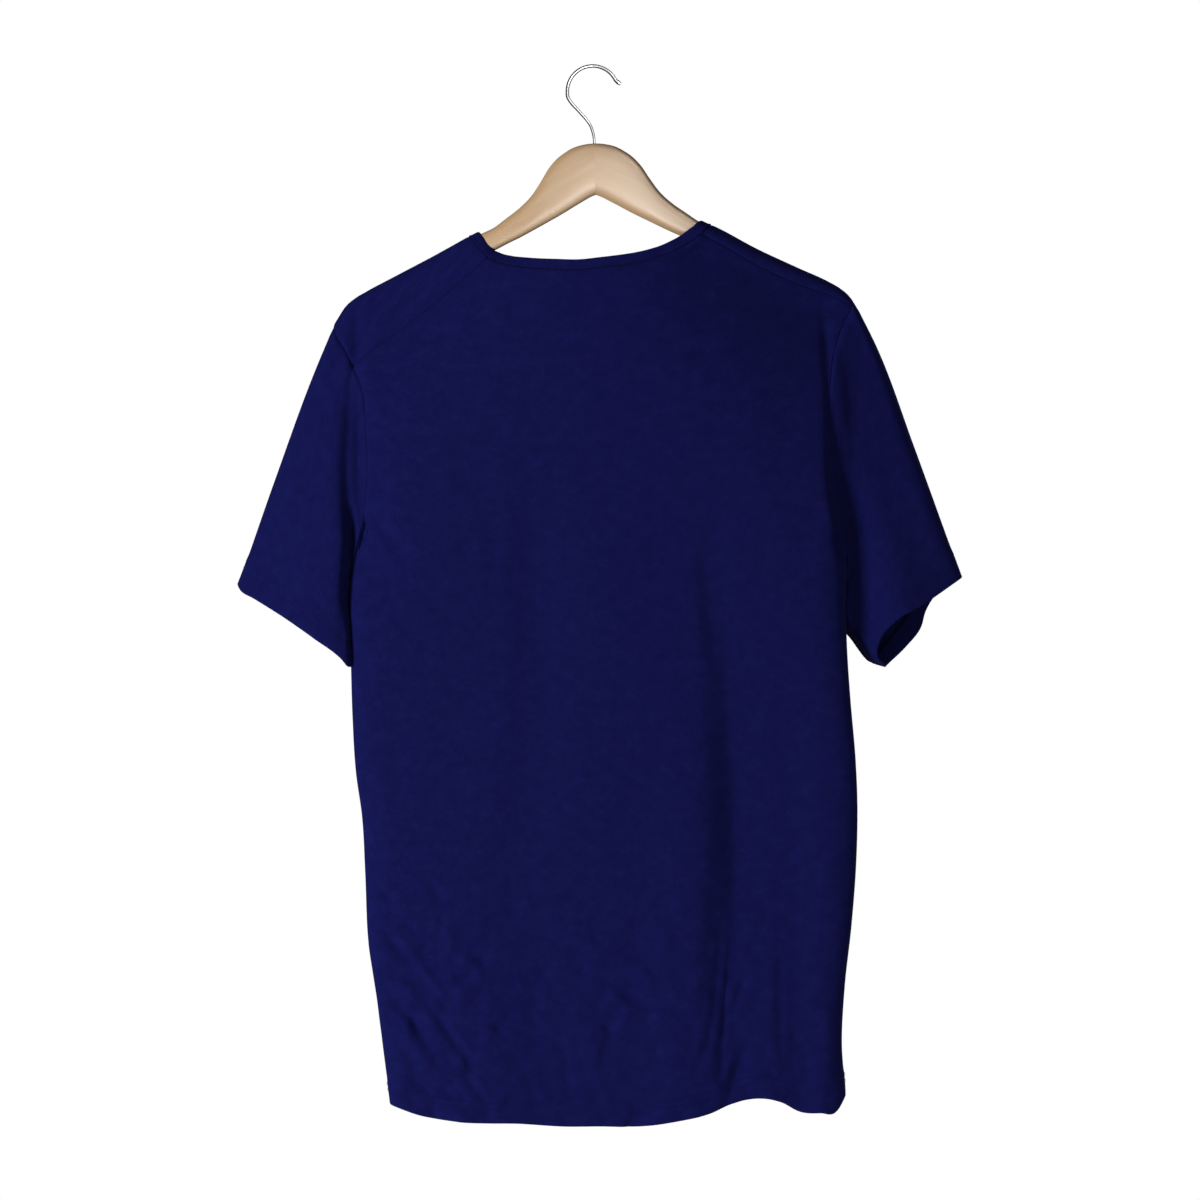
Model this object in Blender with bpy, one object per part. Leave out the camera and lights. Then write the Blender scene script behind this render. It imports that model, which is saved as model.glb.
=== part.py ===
"""Short-sleeved crew-neck t-shirt on a contoured wooden hanger.

Metres, +Z up. The origin is the inside of the hook's crown, where a rail carries the hanger.
-Y is the garment's back, +Y its front, -X the wearer's left. Sizes are in millimetres up to
the point where a mesh is made.

The shirt is one surface in cloth coordinates: `girth` runs across a panel from its left side
seam to its right one, and `fall` is the length down the cloth from the shoulder ridge, less
than 0 on the back and more than 0 on the front. The pieces are patches of that surface.
"""
import math
from collections import namedtuple

import bmesh
import bpy
import numpy as np
from mathutils import Vector

MM = 0.001
BACK, FRONT = -1, 1

# Cloth
WALL = 1.2             # thickness of the jersey's solid
SEAM_GAP = 0.3         # between two pieces at a seam
BAND_WIDTH = 9.0       # neckband, from its seam to its edge
HALF_GIRTH = 500.0     # length of a panel across the chest, side seam to side seam
DEPTH = {BACK: 40.0, FRONT: 52.0}   # how far each panel stands off the middle plane
SLEEVE_DEPTH = 34.0    # half the sleeve hem's depth
ROUNDING = 3.0         # power of the rounded section: 2 is an ellipse, more is squarer
RIDGE_RADIUS = 11.0    # bend of the cloth over the hanger's arm
SWELL_LENGTH = 90.0    # fall over which the cloth swells out below the arm
ARM_FORWARD = 30.0     # how far the shoulders reach to the front
ARM_REACH = 260.0      # half width over which they do
LOW_MIDDLE = 8.0       # middle plane of the lower body
SETTLE = 260.0         # drop over which the middle plane leaves the shoulders' curve
ARMPIT_Z = -450.0
TAB_FALL = 24.0        # the shoulder tabs end this far down the front
ARMPIT_SPREAD = 5.6    # room between body and sleeve where the underarm folds back on itself
SPREAD_STEPS = 5       # points of the armhole over which that room runs out
HEM_LEVEL = -930.0     # mean height of the hem
FLAT_FALL = 80.0       # fall over which the section rounds off below the ridge
HEIGHT_STEPS = 8       # repeats that settle a place's height against the side edges
HALF_WIDTH = 225.0     # of the body seen flat, for the shape of its section

# Grid of the panels
SHOULDER_COLUMNS = 9
NECK_COLUMNS = 14
UPPER_ROWS = 13
LOWER_ROWS = 20
SECTION_SAMPLES = 600
CURVE_SAMPLES = 240
HEM_SAMPLES = 100
TAB_BACK = (1.0, 0.5, 0.22, 0.1)           # rows of a tab behind the ridge, shares of the seam's fall
TAB_FRONT = (0.0, 5.0, 10.0, 17.0, TAB_FALL)   # rows from the ridge to the front, in fall
SLEEVE_ROWS = 9

# Hanger
ARM_THICK = 13.0
ARM_CORNER = 5.5
ARM_SEAT = 0.6         # clear of the cloth that lies on it
JOINT_GAP = 0.3        # between the two halves
WIRE_RADIUS = 1.6
LOOP_RADIUS = 22.8     # of the hook, to the wire's centre
CROWN_Z = -68.3        # top of the wood

# Top outline of shirt and hanger arms, seen from behind
Ridge = namedtuple("Ridge", "x z")
RIDGE = (
    Ridge(-333, -455), Ridge(-313, -405), Ridge(-296, -357.5), Ridge(-278, -310.5),
    Ridge(-258.7, -264.6), Ridge(-243.6, -231.3), Ridge(-236.8, -218.2), Ridge(-229.6, -207.6),
    Ridge(-220.4, -200), Ridge(-210.8, -194.7), Ridge(-183, -181.2), Ridge(-146, -163.5),
    Ridge(-105.7, -143.2), Ridge(-94, -137.5), Ridge(-50, -121), Ridge(0, -113), Ridge(50, -121),
    Ridge(93, -140), Ridge(104.7, -145), Ridge(144.3, -166.8), Ridge(181, -184.7),
    Ridge(209, -198.2), Ridge(218.3, -203.9), Ridge(227, -211.9), Ridge(235.7, -226.4),
    Ridge(248.7, -254.6), Ridge(265.8, -300.6), Ridge(281.3, -349.1), Ridge(296.8, -396.3),
    Ridge(308.4, -431.8), Ridge(320, -468),
)

# Side edges of the body; above the armpit they are the lines that the sleeves hide
Side = namedtuple("Side", "z left right")
SIDES = (
    Side(-960, -207, 199), Side(-928, -208.5, 200), Side(-888, -212.5, 198.3),
    Side(-833, -217.8, 202.5), Side(-780, -224, 210), Side(-720, -225, 216.3),
    Side(-666, -226.5, 218.8), Side(-630, -230.5, 218.3), Side(-576, -232.3, 215.3),
    Side(-527, -232.3, 213.6), Side(-490, -232.3, 214), Side(-450, -232.5, 216.8),
    Side(-400, -245, 231), Side(-350, -265, 252), Side(-300, -283, 272), Side(-230, -300, 290),
    Side(-60, -310, 300),
)

# Hem of the body, seen from behind
Hem = namedtuple("Hem", "x back front")
HEM = (
    Hem(-207, -926, -926), Hem(-183, -935, -930), Hem(-147, -942, -935), Hem(-93, -945, -939),
    Hem(-57, -948.5, -936), Hem(-21, -949.5, -934), Hem(15, -950.5, -938), Hem(51, -946.5, -942),
    Hem(78, -941, -941), Hem(97, -933.5, -936), Hem(115, -929.5, -931), Hem(142, -933, -930),
    Hem(159, -942.5, -934), Hem(177, -944, -936), Hem(193, -942, -935), Hem(199, -932, -932),
)

# Armholes, from the back armpit over the ridge to the front armpit
Seam = namedtuple("Seam", "side x z")
ARMHOLE_LEFT = (
    Seam(BACK, -232.5, -450), Seam(BACK, -226, -432), Seam(BACK, -217, -397),
    Seam(BACK, -213, -356), Seam(BACK, -213, -320), Seam(BACK, -216, -282),
    Seam(BACK, -223, -263), Seam(BACK, -231, -246), Seam(BACK, -238, -234),
    Seam(FRONT, -234, -256), Seam(FRONT, -223, -292), Seam(FRONT, -214, -330),
    Seam(FRONT, -212, -370), Seam(FRONT, -219.5, -413), Seam(FRONT, -232.5, -450),
)
ARMHOLE_RIGHT = (
    Seam(BACK, 216.8, -450), Seam(BACK, 212, -432), Seam(BACK, 205, -396),
    Seam(BACK, 203.5, -342), Seam(BACK, 205.5, -297), Seam(BACK, 211, -261),
    Seam(BACK, 219, -239), Seam(BACK, 226.5, -225.5), Seam(FRONT, 226, -245),
    Seam(FRONT, 215, -285), Seam(FRONT, 204, -330), Seam(FRONT, 200, -370),
    Seam(FRONT, 204, -415), Seam(FRONT, 216.8, -450),
)

# Shoulder seams, set back: drop below the ridge along each, from armhole to neck
Shoulder = namedtuple("Shoulder", "share left right")
SHOULDER_SEAM = (
    Shoulder(0.0, 60, 9), Shoulder(0.33, 53, 15), Shoulder(0.66, 43, 15.3),
    Shoulder(1.0, 29, 13),
)

# Neck seam: its sides over the ridge (where it crosses, and where it reaches the front)
NECK_BACK = (
    Seam(BACK, -98.5, -168), Seam(BACK, -86, -173.5), Seam(BACK, -68, -177.5),
    Seam(BACK, -43, -180.5), Seam(BACK, -13, -182), Seam(BACK, 5, -180.5),
    Seam(BACK, 33, -177.5), Seam(BACK, 54, -173), Seam(BACK, 74, -165), Seam(BACK, 94, -152),
)
NECK_SIDE_LEFT = (Seam(BACK, -98.5, -168), Seam(BACK, -107, -158), Seam(BACK, -112.5, -150.8),
                  Seam(FRONT, -109, -162), Seam(FRONT, -103, -166))
NECK_SIDE_RIGHT = (Seam(BACK, 94, -152), Seam(BACK, 101.5, -144.9), Seam(FRONT, 98, -156),
                   Seam(FRONT, 93, -161))
NECK_FRONT = (
    Seam(FRONT, -103, -166), Seam(FRONT, -97, -182), Seam(FRONT, -84, -204),
    Seam(FRONT, -60, -225), Seam(FRONT, -30, -236), Seam(FRONT, -5, -239),
    Seam(FRONT, 22, -235), Seam(FRONT, 52, -223), Seam(FRONT, 75, -202), Seam(FRONT, 88, -179),
    Seam(FRONT, 93, -161),
)

# Sleeves: the fold along the top, the fold under the arm and both layers of the hem
Point = namedtuple("Point", "x z")
SLEEVE_LEFT = dict(
    top=(Point(-243.6, -231.3), Point(-258.7, -264.6), Point(-296, -357.5), Point(-333, -455)),
    under=(Point(-232.5, -450), Point(-238, -470), Point(-237, -500), Point(-234.5, -531)),
    back=(Point(-234.5, -531), Point(-240, -524.5), Point(-264.5, -505), Point(-290, -486.3),
          Point(-317.8, -468), Point(-330.2, -460), Point(-333, -455)),
    front=(Point(-234.5, -531), Point(-264, -502), Point(-290, -483), Point(-317, -465),
           Point(-333, -455)),
)
SLEEVE_RIGHT = dict(
    top=(Point(235, -225), Point(248.7, -254.6), Point(281.3, -349.1), Point(308.4, -431.8),
         Point(320, -468)),
    under=(Point(216.8, -450), Point(222, -470), Point(219.5, -497), Point(221, -522),
           Point(235, -542), Point(249, -547)),
    back=(Point(249, -547), Point(241, -540), Point(243, -523), Point(260, -504),
          Point(281, -492.5), Point(320, -468)),
    front=(Point(249, -547), Point(269, -529), Point(283, -512.5), Point(288, -498),
           Point(299, -482), Point(320, -468)),
)

# Largest folds: a trough pushes the cloth towards the middle plane, a ridge (less than 0) out
Fold = namedtuple("Fold", "side x_top z_top x_low z_low width deep_top deep_low")
FOLDS = (
    Fold(BACK, 84, -330, 93, -940, 18, 0.5, 13),    # long fall right of the centre
    Fold(BACK, 146, -540, 145, -940, 15, 1, 10),    # its neighbour
    Fold(BACK, 119, -620, 118, -940, 13, -0.5, -6),  # the swells beside them
    Fold(BACK, 52, -560, 50, -940, 20, -0.5, -6),
    Fold(BACK, 182, -620, 180, -940, 14, -0.5, -5),
    Fold(BACK, -76, -290, -112, -720, 24, 4, 1.5),  # broad shallow fall at the left
    Fold(BACK, -140, -700, -120, -940, 30, -1, -5),
    Fold(BACK, -205, -775, -150, -858, 13, 4, 4),   # diagonal creases low at the left
    Fold(BACK, -185, -900, -120, -935, 13, 3, 4),
    Fold(BACK, 112, -840, 88, -900, 12, 3, 4),
    Fold(BACK, -229, -270, -242, -500, 10, 3, 12),  # sleeves folded in beside the body
    Fold(BACK, 215, -250, 224, -470, 10, 3, 11),
    Fold(FRONT, -70, -380, -88, -940, 20, 1, 11),
    Fold(FRONT, -140, -560, -146, -940, 16, 1, 8),
    Fold(FRONT, -113, -600, -116, -940, 13, -0.5, -5),
    Fold(FRONT, 40, -330, 60, -940, 24, 1, 9),
    Fold(FRONT, 128, -480, 130, -940, 18, 1, 9),
    Fold(FRONT, 95, -560, 96, -940, 14, -0.5, -5),
    Fold(FRONT, -20, -500, -12, -940, 26, -0.5, -5),
    Fold(FRONT, -200, -800, -150, -865, 13, 4, 3),
    Fold(FRONT, 160, -840, 120, -905, 13, 3, 4),
    Fold(FRONT, -229, -300, -242, -500, 10, 3, 11),
    Fold(FRONT, 214, -300, 224, -470, 10, 3, 6),
)
FOLD_ROOM = 6.0        # where the cloth is this close to the middle plane a fold is half as deep
FOLD_FADE = 0.25       # share of a fold's length over which its end runs out, above the hem

# Outline of a hanger half, outside the cloth
Arm = namedtuple("Arm", "x top low")
ARM = (
    Arm(5, -68.5, -116.5), Arm(12, -69.6, -120.3), Arm(19, -71.6, -124.2), Arm(27, -76, -128.8),
    Arm(35, -82, -133.2), Arm(42, -90, -136.8), Arm(49, -101, -140.4), Arm(57, -112.5, -144.5),
    Arm(68, -123.3, -150), Arm(81, -132.8, -155.8), Arm(93, -141.1, -161.5),
)
ARM_STATIONS = (104, 122, 144, 162, 180, 192, 202)   # under the cloth, the top from the ridge
ARM_HEIGHT_NECK, ARM_HEIGHT_END = 20.0, 15.0
NOTCH_Z = -114.5

# Rounded tip of an arm: how far top and underside close in, and the section's last scale
Tip = namedtuple("Tip", "x sink lift scale")
ARM_TIP = (Tip(206, 3.6, 0.4, 1.0), Tip(209, 7.0, -1.5, 0.55))

# Stem of the hook, from its loop down to the wood
STEM = (Point(-22.9, -21.2), Point(-22.7, -25.2), Point(-19.6, -31), Point(-13.4, -38.2),
        Point(-7.2, -45.6), Point(-3.2, -51.5), Point(-0.9, -58.5), Point(0, -64),
        Point(0, CROWN_Z + JOINT_GAP))
HOOK_TIP = Point(25.3, -15.6)
LOOP_START_ANGLE = 24      # degrees, where the loop leaves its tip
LOOP_POINTS = 22
STEM_STEPS = 18
TIP_SWELL = 1.55           # the wire's end is upset to a small bulb

CLOTH_BLUE = (0.007, 0.008, 0.066)
WOOD_TAN = (0.54, 0.38, 0.22)
CHROME = (0.77, 0.79, 0.82)


def hermite(xs, ys, x):
    """Smooth curve through a table, straight on past its ends."""
    xs, ys = np.asarray(xs, float), np.asarray(ys, float)
    slopes = np.gradient(ys, xs)
    i = int(np.clip(np.searchsorted(xs, x) - 1, 0, len(xs) - 2))
    width = xs[i + 1] - xs[i]
    t = (x - xs[i]) / width
    if t < 0 or t > 1:
        end = i if t < 0 else i + 1
        return ys[end] + slopes[end] * (x - xs[end])
    return ((1 + 2 * t) * (1 - t) ** 2 * ys[i] + t * (1 - t) ** 2 * width * slopes[i]
            + t * t * (3 - 2 * t) * ys[i + 1] + t * t * (t - 1) * width * slopes[i + 1])


def column(rows, name):
    """One named column of a table."""
    return [getattr(row, name) for row in rows]


def ease(t):
    """Smooth step from 0 to 1."""
    t = min(max(t, 0.0), 1.0)
    return t * t * (3 - 2 * t)


def lerp(a, b, t):
    return a + (b - a) * t


def smooth_path(points, count):
    """Evenly spaced points, count steps, on a smooth curve through the given ones."""
    points = np.asarray(points, float)
    knots = np.concatenate([[0], np.cumsum(np.linalg.norm(np.diff(points, axis=0), axis=1))])
    dense = np.linspace(0, knots[-1], CURVE_SAMPLES)
    curve = np.array([[hermite(knots, points[:, k], s) for k in range(points.shape[1])]
                      for s in dense])
    run = np.concatenate([[0], np.cumsum(np.linalg.norm(np.diff(curve, axis=0), axis=1))])
    even = np.linspace(0, run[-1], count + 1)
    return np.stack([np.interp(even, run, curve[:, k]) for k in range(points.shape[1])], axis=1)


def coons(low, high, left, right):
    """Patch between four edges: low and high run left to right, the sides from low to high."""
    rows, cols = len(left), len(low)
    u = np.linspace(0, 1, cols)[None, :, None]
    v = np.linspace(0, 1, rows)[:, None, None]
    low, high = np.asarray(low)[None], np.asarray(high)[None]
    left, right = np.asarray(left)[:, None], np.asarray(right)[:, None]
    corners = ((1 - u) * (1 - v) * low[:, :1] + u * (1 - v) * low[:, -1:]
               + (1 - u) * v * high[:, :1] + u * v * high[:, -1:])
    return (1 - v) * low + v * high + (1 - u) * left + u * right - corners


# ---------------------------------------------------------------- the cloth's surface

def rounded_section():
    """Share of the length round half a section, with the place across and the share of depth."""
    angle = np.linspace(0, math.pi, SECTION_SAMPLES + 1)
    across = -np.sign(np.cos(angle)) * np.abs(np.cos(angle)) ** (2 / ROUNDING)
    out = np.abs(np.sin(angle)) ** (2 / ROUNDING)
    mean_depth = (DEPTH[BACK] + DEPTH[FRONT]) / 2
    steps = np.hypot(np.diff(across) * HALF_WIDTH, np.diff(out) * mean_depth)
    share = np.concatenate([[0], np.cumsum(steps)])
    return share / share[-1], across, out


SHARE, ACROSS, OUT = rounded_section()


def ridge_z(x):
    """Height of the shirt's top outline."""
    return hermite(column(RIDGE, "x"), column(RIDGE, "z"), x)


def side_edges(z):
    """Left and right edge of the body at a height."""
    zs = column(SIDES, "z")
    return hermite(zs, column(SIDES, "left"), z), hermite(zs, column(SIDES, "right"), z)


def drop_and_depth(side, fall):
    """How far down and how far out the cloth is, after a length of fall over the arm."""
    quarter = RIDGE_RADIUS * math.pi / 2
    if fall < quarter:
        bend = fall / RIDGE_RADIUS
        return RIDGE_RADIUS * (1 - math.cos(bend)), RIDGE_RADIUS * math.sin(bend)
    past = fall - quarter
    swell = past * past / (past * past + SWELL_LENGTH ** 2)
    return RIDGE_RADIUS + past, RIDGE_RADIUS + (DEPTH[side] - RIDGE_RADIUS) * swell


def fall_at(drop):
    """Length of fall that ends a given drop below the ridge."""
    if drop < RIDGE_RADIUS:
        return RIDGE_RADIUS * math.acos(1 - max(drop, 0.0) / RIDGE_RADIUS)
    return RIDGE_RADIUS * math.pi / 2 + drop - RIDGE_RADIUS


def across_at(girth, z):
    """Place across the body of a share of the girth."""
    left, right = side_edges(z)
    return (left + right) / 2 + (right - left) / 2 * np.interp(girth / HALF_GIRTH, SHARE, ACROSS)


def cloth_coordinates(side, x, z):
    """Girth and signed fall of a place seen from behind or in front."""
    left, right = side_edges(z)
    across = (x - (left + right) / 2) / ((right - left) / 2)
    return HALF_GIRTH * np.interp(across, ACROSS, SHARE), side * fall_at(ridge_z(x) - z)


def form(girth, fall, side=None):
    """Place across, height and stand-off of the cloth at its coordinates."""
    if side is None:
        side = BACK if fall < 0 else FRONT
    drop, depth = drop_and_depth(side, abs(fall))
    z = ARMPIT_Z
    for _ in range(HEIGHT_STEPS):
        x = across_at(girth, z)
        z = ridge_z(x) - drop
    out = np.interp(girth / HALF_GIRTH, SHARE, OUT)
    return x, z, depth * lerp(1.0, out, ease(abs(fall) / FLAT_FALL))


def arm_forward(x):
    """Contour of the hanger seen from above: its arms reach forward."""
    return ARM_FORWARD * (1 - math.cos(math.pi * min(abs(x), ARM_REACH) / ARM_REACH)) / 2


def middle_plane(x, z):
    """Plane between back and front: the hanger's curve at the shoulders, flat lower down."""
    return lerp(arm_forward(x), LOW_MIDDLE, ease((ridge_z(x) - z) / SETTLE))


def fold_depth(side, x, z):
    """How far all the folds push the cloth in at a place."""
    total = 0.0
    for fold in FOLDS:
        if fold.side != side:
            continue
        dx, dz = fold.x_low - fold.x_top, fold.z_low - fold.z_top
        along = ((x - fold.x_top) * dx + (z - fold.z_top) * dz) / (dx * dx + dz * dz)
        along = min(max(along, 0.0), 1.0)
        away = math.hypot(x - fold.x_top - along * dx, z - fold.z_top - along * dz)
        fade = ease(along / FOLD_FADE)
        if fold.z_low > HEM_LEVEL:
            fade *= ease((1 - along) / FOLD_FADE)
        depth = lerp(fold.deep_top, fold.deep_low, along) * fade
        total += depth * math.exp(-(away / fold.width) ** 2)
    return total


def place(side, x, z, depth):
    """Point of the cloth's middle surface, folds included."""
    room = depth / (depth + FOLD_ROOM) if depth > 0 else 0.0
    stand_off = depth - fold_depth(side, x, z) * room
    return Vector((x, middle_plane(x, z) + side * stand_off, z))


# ---------------------------------------------------------------- edges of the pieces

def seam_curve(rows):
    """A seam as girth over fall, for seams that run from the back over the ridge."""
    points = sorted(cloth_coordinates(row.side, row.x, row.z)[::-1] for row in rows)
    falls, girths = zip(*points)
    return lambda fall: hermite(falls, girths, fall)


def traced(rows, count):
    """A seam on one side of the shirt, evenly spaced in cloth coordinates."""
    return smooth_path([cloth_coordinates(row.side, row.x, row.z) for row in rows], count)


def level_row(side, level, height, girths):
    """Cloth coordinates of a line at a height that varies with x about a level."""
    row = []
    for girth in girths:
        x = across_at(girth, level)
        row.append((girth, side * fall_at(ridge_z(x) - height(x))))
    return np.array(row)


def hem_height(side):
    """Height of the hem over x, as a function."""
    name = "back" if side == BACK else "front"
    return lambda x: hermite(column(HEM, "x"), column(HEM, name), x)


def tab(armhole, neck_side, seam_drops, mirrored):
    """Part of the front panel that wraps the shoulder: rows from the back seam to the front."""
    shares = column(SHOULDER_SEAM, "share")
    rows = [[] for _ in range(len(TAB_BACK) + len(TAB_FRONT))]
    for index in range(SHOULDER_COLUMNS + 1):
        share = index / SHOULDER_COLUMNS
        seam_fall = fall_at(hermite(shares, seam_drops, share))
        falls = [-seam_fall * part for part in TAB_BACK] + list(TAB_FRONT)
        ends = [-fall_at(seam_drops[0]) * part for part in TAB_BACK] + list(TAB_FRONT)
        necks = [-fall_at(seam_drops[-1]) * part for part in TAB_BACK] + list(TAB_FRONT)
        for row, fall, at_arm, at_neck in zip(rows, falls, ends, necks):
            row.append((lerp(armhole(at_arm), neck_side(at_neck), share), fall))
    rows = np.array(rows)
    return rows[:, ::-1] if mirrored else rows


def panel_grid(side, top, armhole_left, armhole_right):
    """Cloth coordinates of a panel below its top edge, rows from the top to the hem."""
    girths = np.linspace(0, HALF_GIRTH, len(top))
    armpit = level_row(side, ARMPIT_Z, lambda x: ARMPIT_Z, girths)
    hem = level_row(side, HEM_LEVEL, hem_height(side), girths)

    def armhole_rows(curve, start, end):
        falls = np.linspace(start, end, UPPER_ROWS + 1)
        return np.array([(curve(fall), fall) for fall in falls])

    left = armhole_rows(armhole_left, top[0][1], armpit[0][1])
    right = armhole_rows(armhole_right, top[-1][1], armpit[-1][1])
    left[0], right[0], left[-1], right[-1] = top[0], top[-1], armpit[0], armpit[-1]
    upper = coons(top, armpit, left, right)
    lower = [lerp(armpit, hem, row / LOWER_ROWS) for row in range(1, LOWER_ROWS + 1)]
    return np.concatenate([upper, lower])


def placed_grid(coordinates, side=None):
    """Form values (side, x, z, depth) for a grid of cloth coordinates; missing ones are None."""
    grid = []
    for row in coordinates:
        line = []
        for girth, fall in row:
            if math.isnan(girth):
                line.append(None)
                continue
            where = side or (BACK if fall < 0 else FRONT)
            line.append((where,) + form(girth, fall, where))
        grid.append(line)
    return grid


def sleeve_grid(ring, edges, outboard):
    """Form values of a sleeve, rows from the armhole to the hem, columns round the ring.

    The ring runs from the armpit up the back, over the top fold and down the front.
    """
    half = len(ring) // 2
    top = [(p[0], p[1], 0.0) for p in smooth_path(edges["top"], SLEEVE_ROWS)]
    under = [(p[0], p[1], 0.0) for p in smooth_path(edges["under"], SLEEVE_ROWS)]
    halves = []
    for side, name in ((BACK, "back"), (FRONT, "front")):
        hem_line = smooth_path(edges[name], HEM_SAMPLES)
        hem = []
        for step in range(half + 1):
            across = (1 + np.interp(step / half, SHARE, ACROSS)) / 2 * HEM_SAMPLES
            spot = [np.interp(across, range(HEM_SAMPLES + 1), hem_line[:, k]) for k in (0, 1)]
            hem.append((*spot, SLEEVE_DEPTH * np.interp(step / half, SHARE, OUT)))
        start = ring[:half + 1] if side == BACK else (ring[half:] + ring[:1])[::-1]
        start = [spread(form_values, step, outboard) for step, form_values in enumerate(start)]
        rail_low, rail_top = np.array(under), np.array(top)
        rail_low[0], rail_top[0] = start[0], start[-1]
        patch = coons(start, hem, rail_low, rail_top)
        halves.append([[(side, *map(float, point)) for point in row] for row in patch])
    back, front = halves
    return [b + f[::-1][1:-1] for b, f in zip(back, front)]


def spread(form_values, step, outboard):
    """Moves a sleeve's edge clear of the body where the underarm folds back."""
    _, x, z, depth = form_values
    return x + outboard * ARMPIT_SPREAD * ease(1 - step / SPREAD_STEPS), z, depth


# ---------------------------------------------------------------- walls

def quads(grid, closed=False, flip=False):
    """Corner keys of a grid's cells, outward when columns run across and rows run down."""
    rows, cols = len(grid), len(grid[0])
    cells = []
    for r in range(rows - 1):
        for c in range(cols if closed else cols - 1):
            d = (c + 1) % cols
            cell = [(r, c), (r, d), (r + 1, d), (r + 1, c)]
            if all(grid[i][j] is not None for i, j in cell):
                cells.append(cell[::-1] if flip else cell)
    return cells


def face_normal(corners):
    """Normal of a four-cornered cell, as long as twice its area."""
    return (corners[2] - corners[0]).cross(corners[3] - corners[1])


def spot_key(point):
    """Key that two pieces' points on one seam share."""
    return tuple(round(value * 100) for value in point)


def shared_normals(pieces):
    """Normals of the whole shirt, so that two pieces' edges face each other squarely."""
    normals = {}
    for grid, cells in pieces.values():
        for cell in cells:
            corners = [grid[r][c] for r, c in cell]
            normal = face_normal(corners)
            for corner in corners:
                key = spot_key(corner)
                normals[key] = normals.get(key, Vector()) + normal
    return {key: normal.normalized() for key, normal in normals.items()}


def edge_insets(grid, cells):
    """Small move of each edge point into its own piece, half a seam gap from every edge."""
    directed = {}
    for cell in cells:
        for k in range(4):
            directed[cell[k], cell[(k + 1) % 4]] = cell
    borders = [(a, b, cell) for (a, b), cell in directed.items() if (b, a) not in directed]
    inward = {}
    for a, b, cell in borders:
        corners = [grid[r][c] for r, c in cell]
        along = (grid[b[0]][b[1]] - grid[a[0]][a[1]]).normalized()
        across = face_normal(corners).normalized().cross(along).normalized()
        inward.setdefault(a, []).append(across)
        inward.setdefault(b, []).append(across)
    moves = {}
    for spot, (first, second) in inward.items():
        moves[spot] = (first + second) * (SEAM_GAP / 2 / max(1 + first.dot(second), 0.3))
    return moves, [(a, b) for a, b, _ in borders]


def cloth_object(name, grid, cells, normals, material):
    """Closed wall of even thickness round a piece's middle surface."""
    moves, borders = edge_insets(grid, cells)
    mesh = bmesh.new()
    skins = {1: {}, -1: {}}
    for spot in sorted({corner for cell in cells for corner in cell}):
        point = grid[spot[0]][spot[1]]
        normal = normals[spot_key(point)]
        for layer, skin in skins.items():
            place_at = point + moves.get(spot, Vector()) + normal * (layer * WALL / 2)
            skin[spot] = mesh.verts.new(place_at * MM)
    for cell in cells:
        mesh.faces.new([skins[1][spot] for spot in cell])
        mesh.faces.new([skins[-1][spot] for spot in reversed(cell)])
    for a, b in borders:
        mesh.faces.new([skins[1][b], skins[1][a], skins[-1][a], skins[-1][b]])
    return add_object(name, mesh, material)


# ---------------------------------------------------------------- objects

def add_object(name, mesh, material):
    """Links a finished mesh as a named object, its round faces shaded smooth."""
    data = bpy.data.meshes.new(name)
    mesh.to_mesh(data)
    mesh.free()
    data.materials.append(material)
    data.shade_smooth()
    data.set_sharp_from_angle(angle=math.radians(50))
    obj = bpy.data.objects.new(name, data)
    bpy.context.scene.collection.objects.link(obj)
    return obj


def make_material(name, colour, roughness, metallic=0.0):
    """Plain material for one kind of surface."""
    material = bpy.data.materials.new(name)
    material.use_nodes = True
    shader = material.node_tree.nodes["Principled BSDF"]
    shader.inputs["Base Color"].default_value = (*colour, 1)
    shader.inputs["Roughness"].default_value = roughness
    shader.inputs["Metallic"].default_value = metallic
    return material


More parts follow.
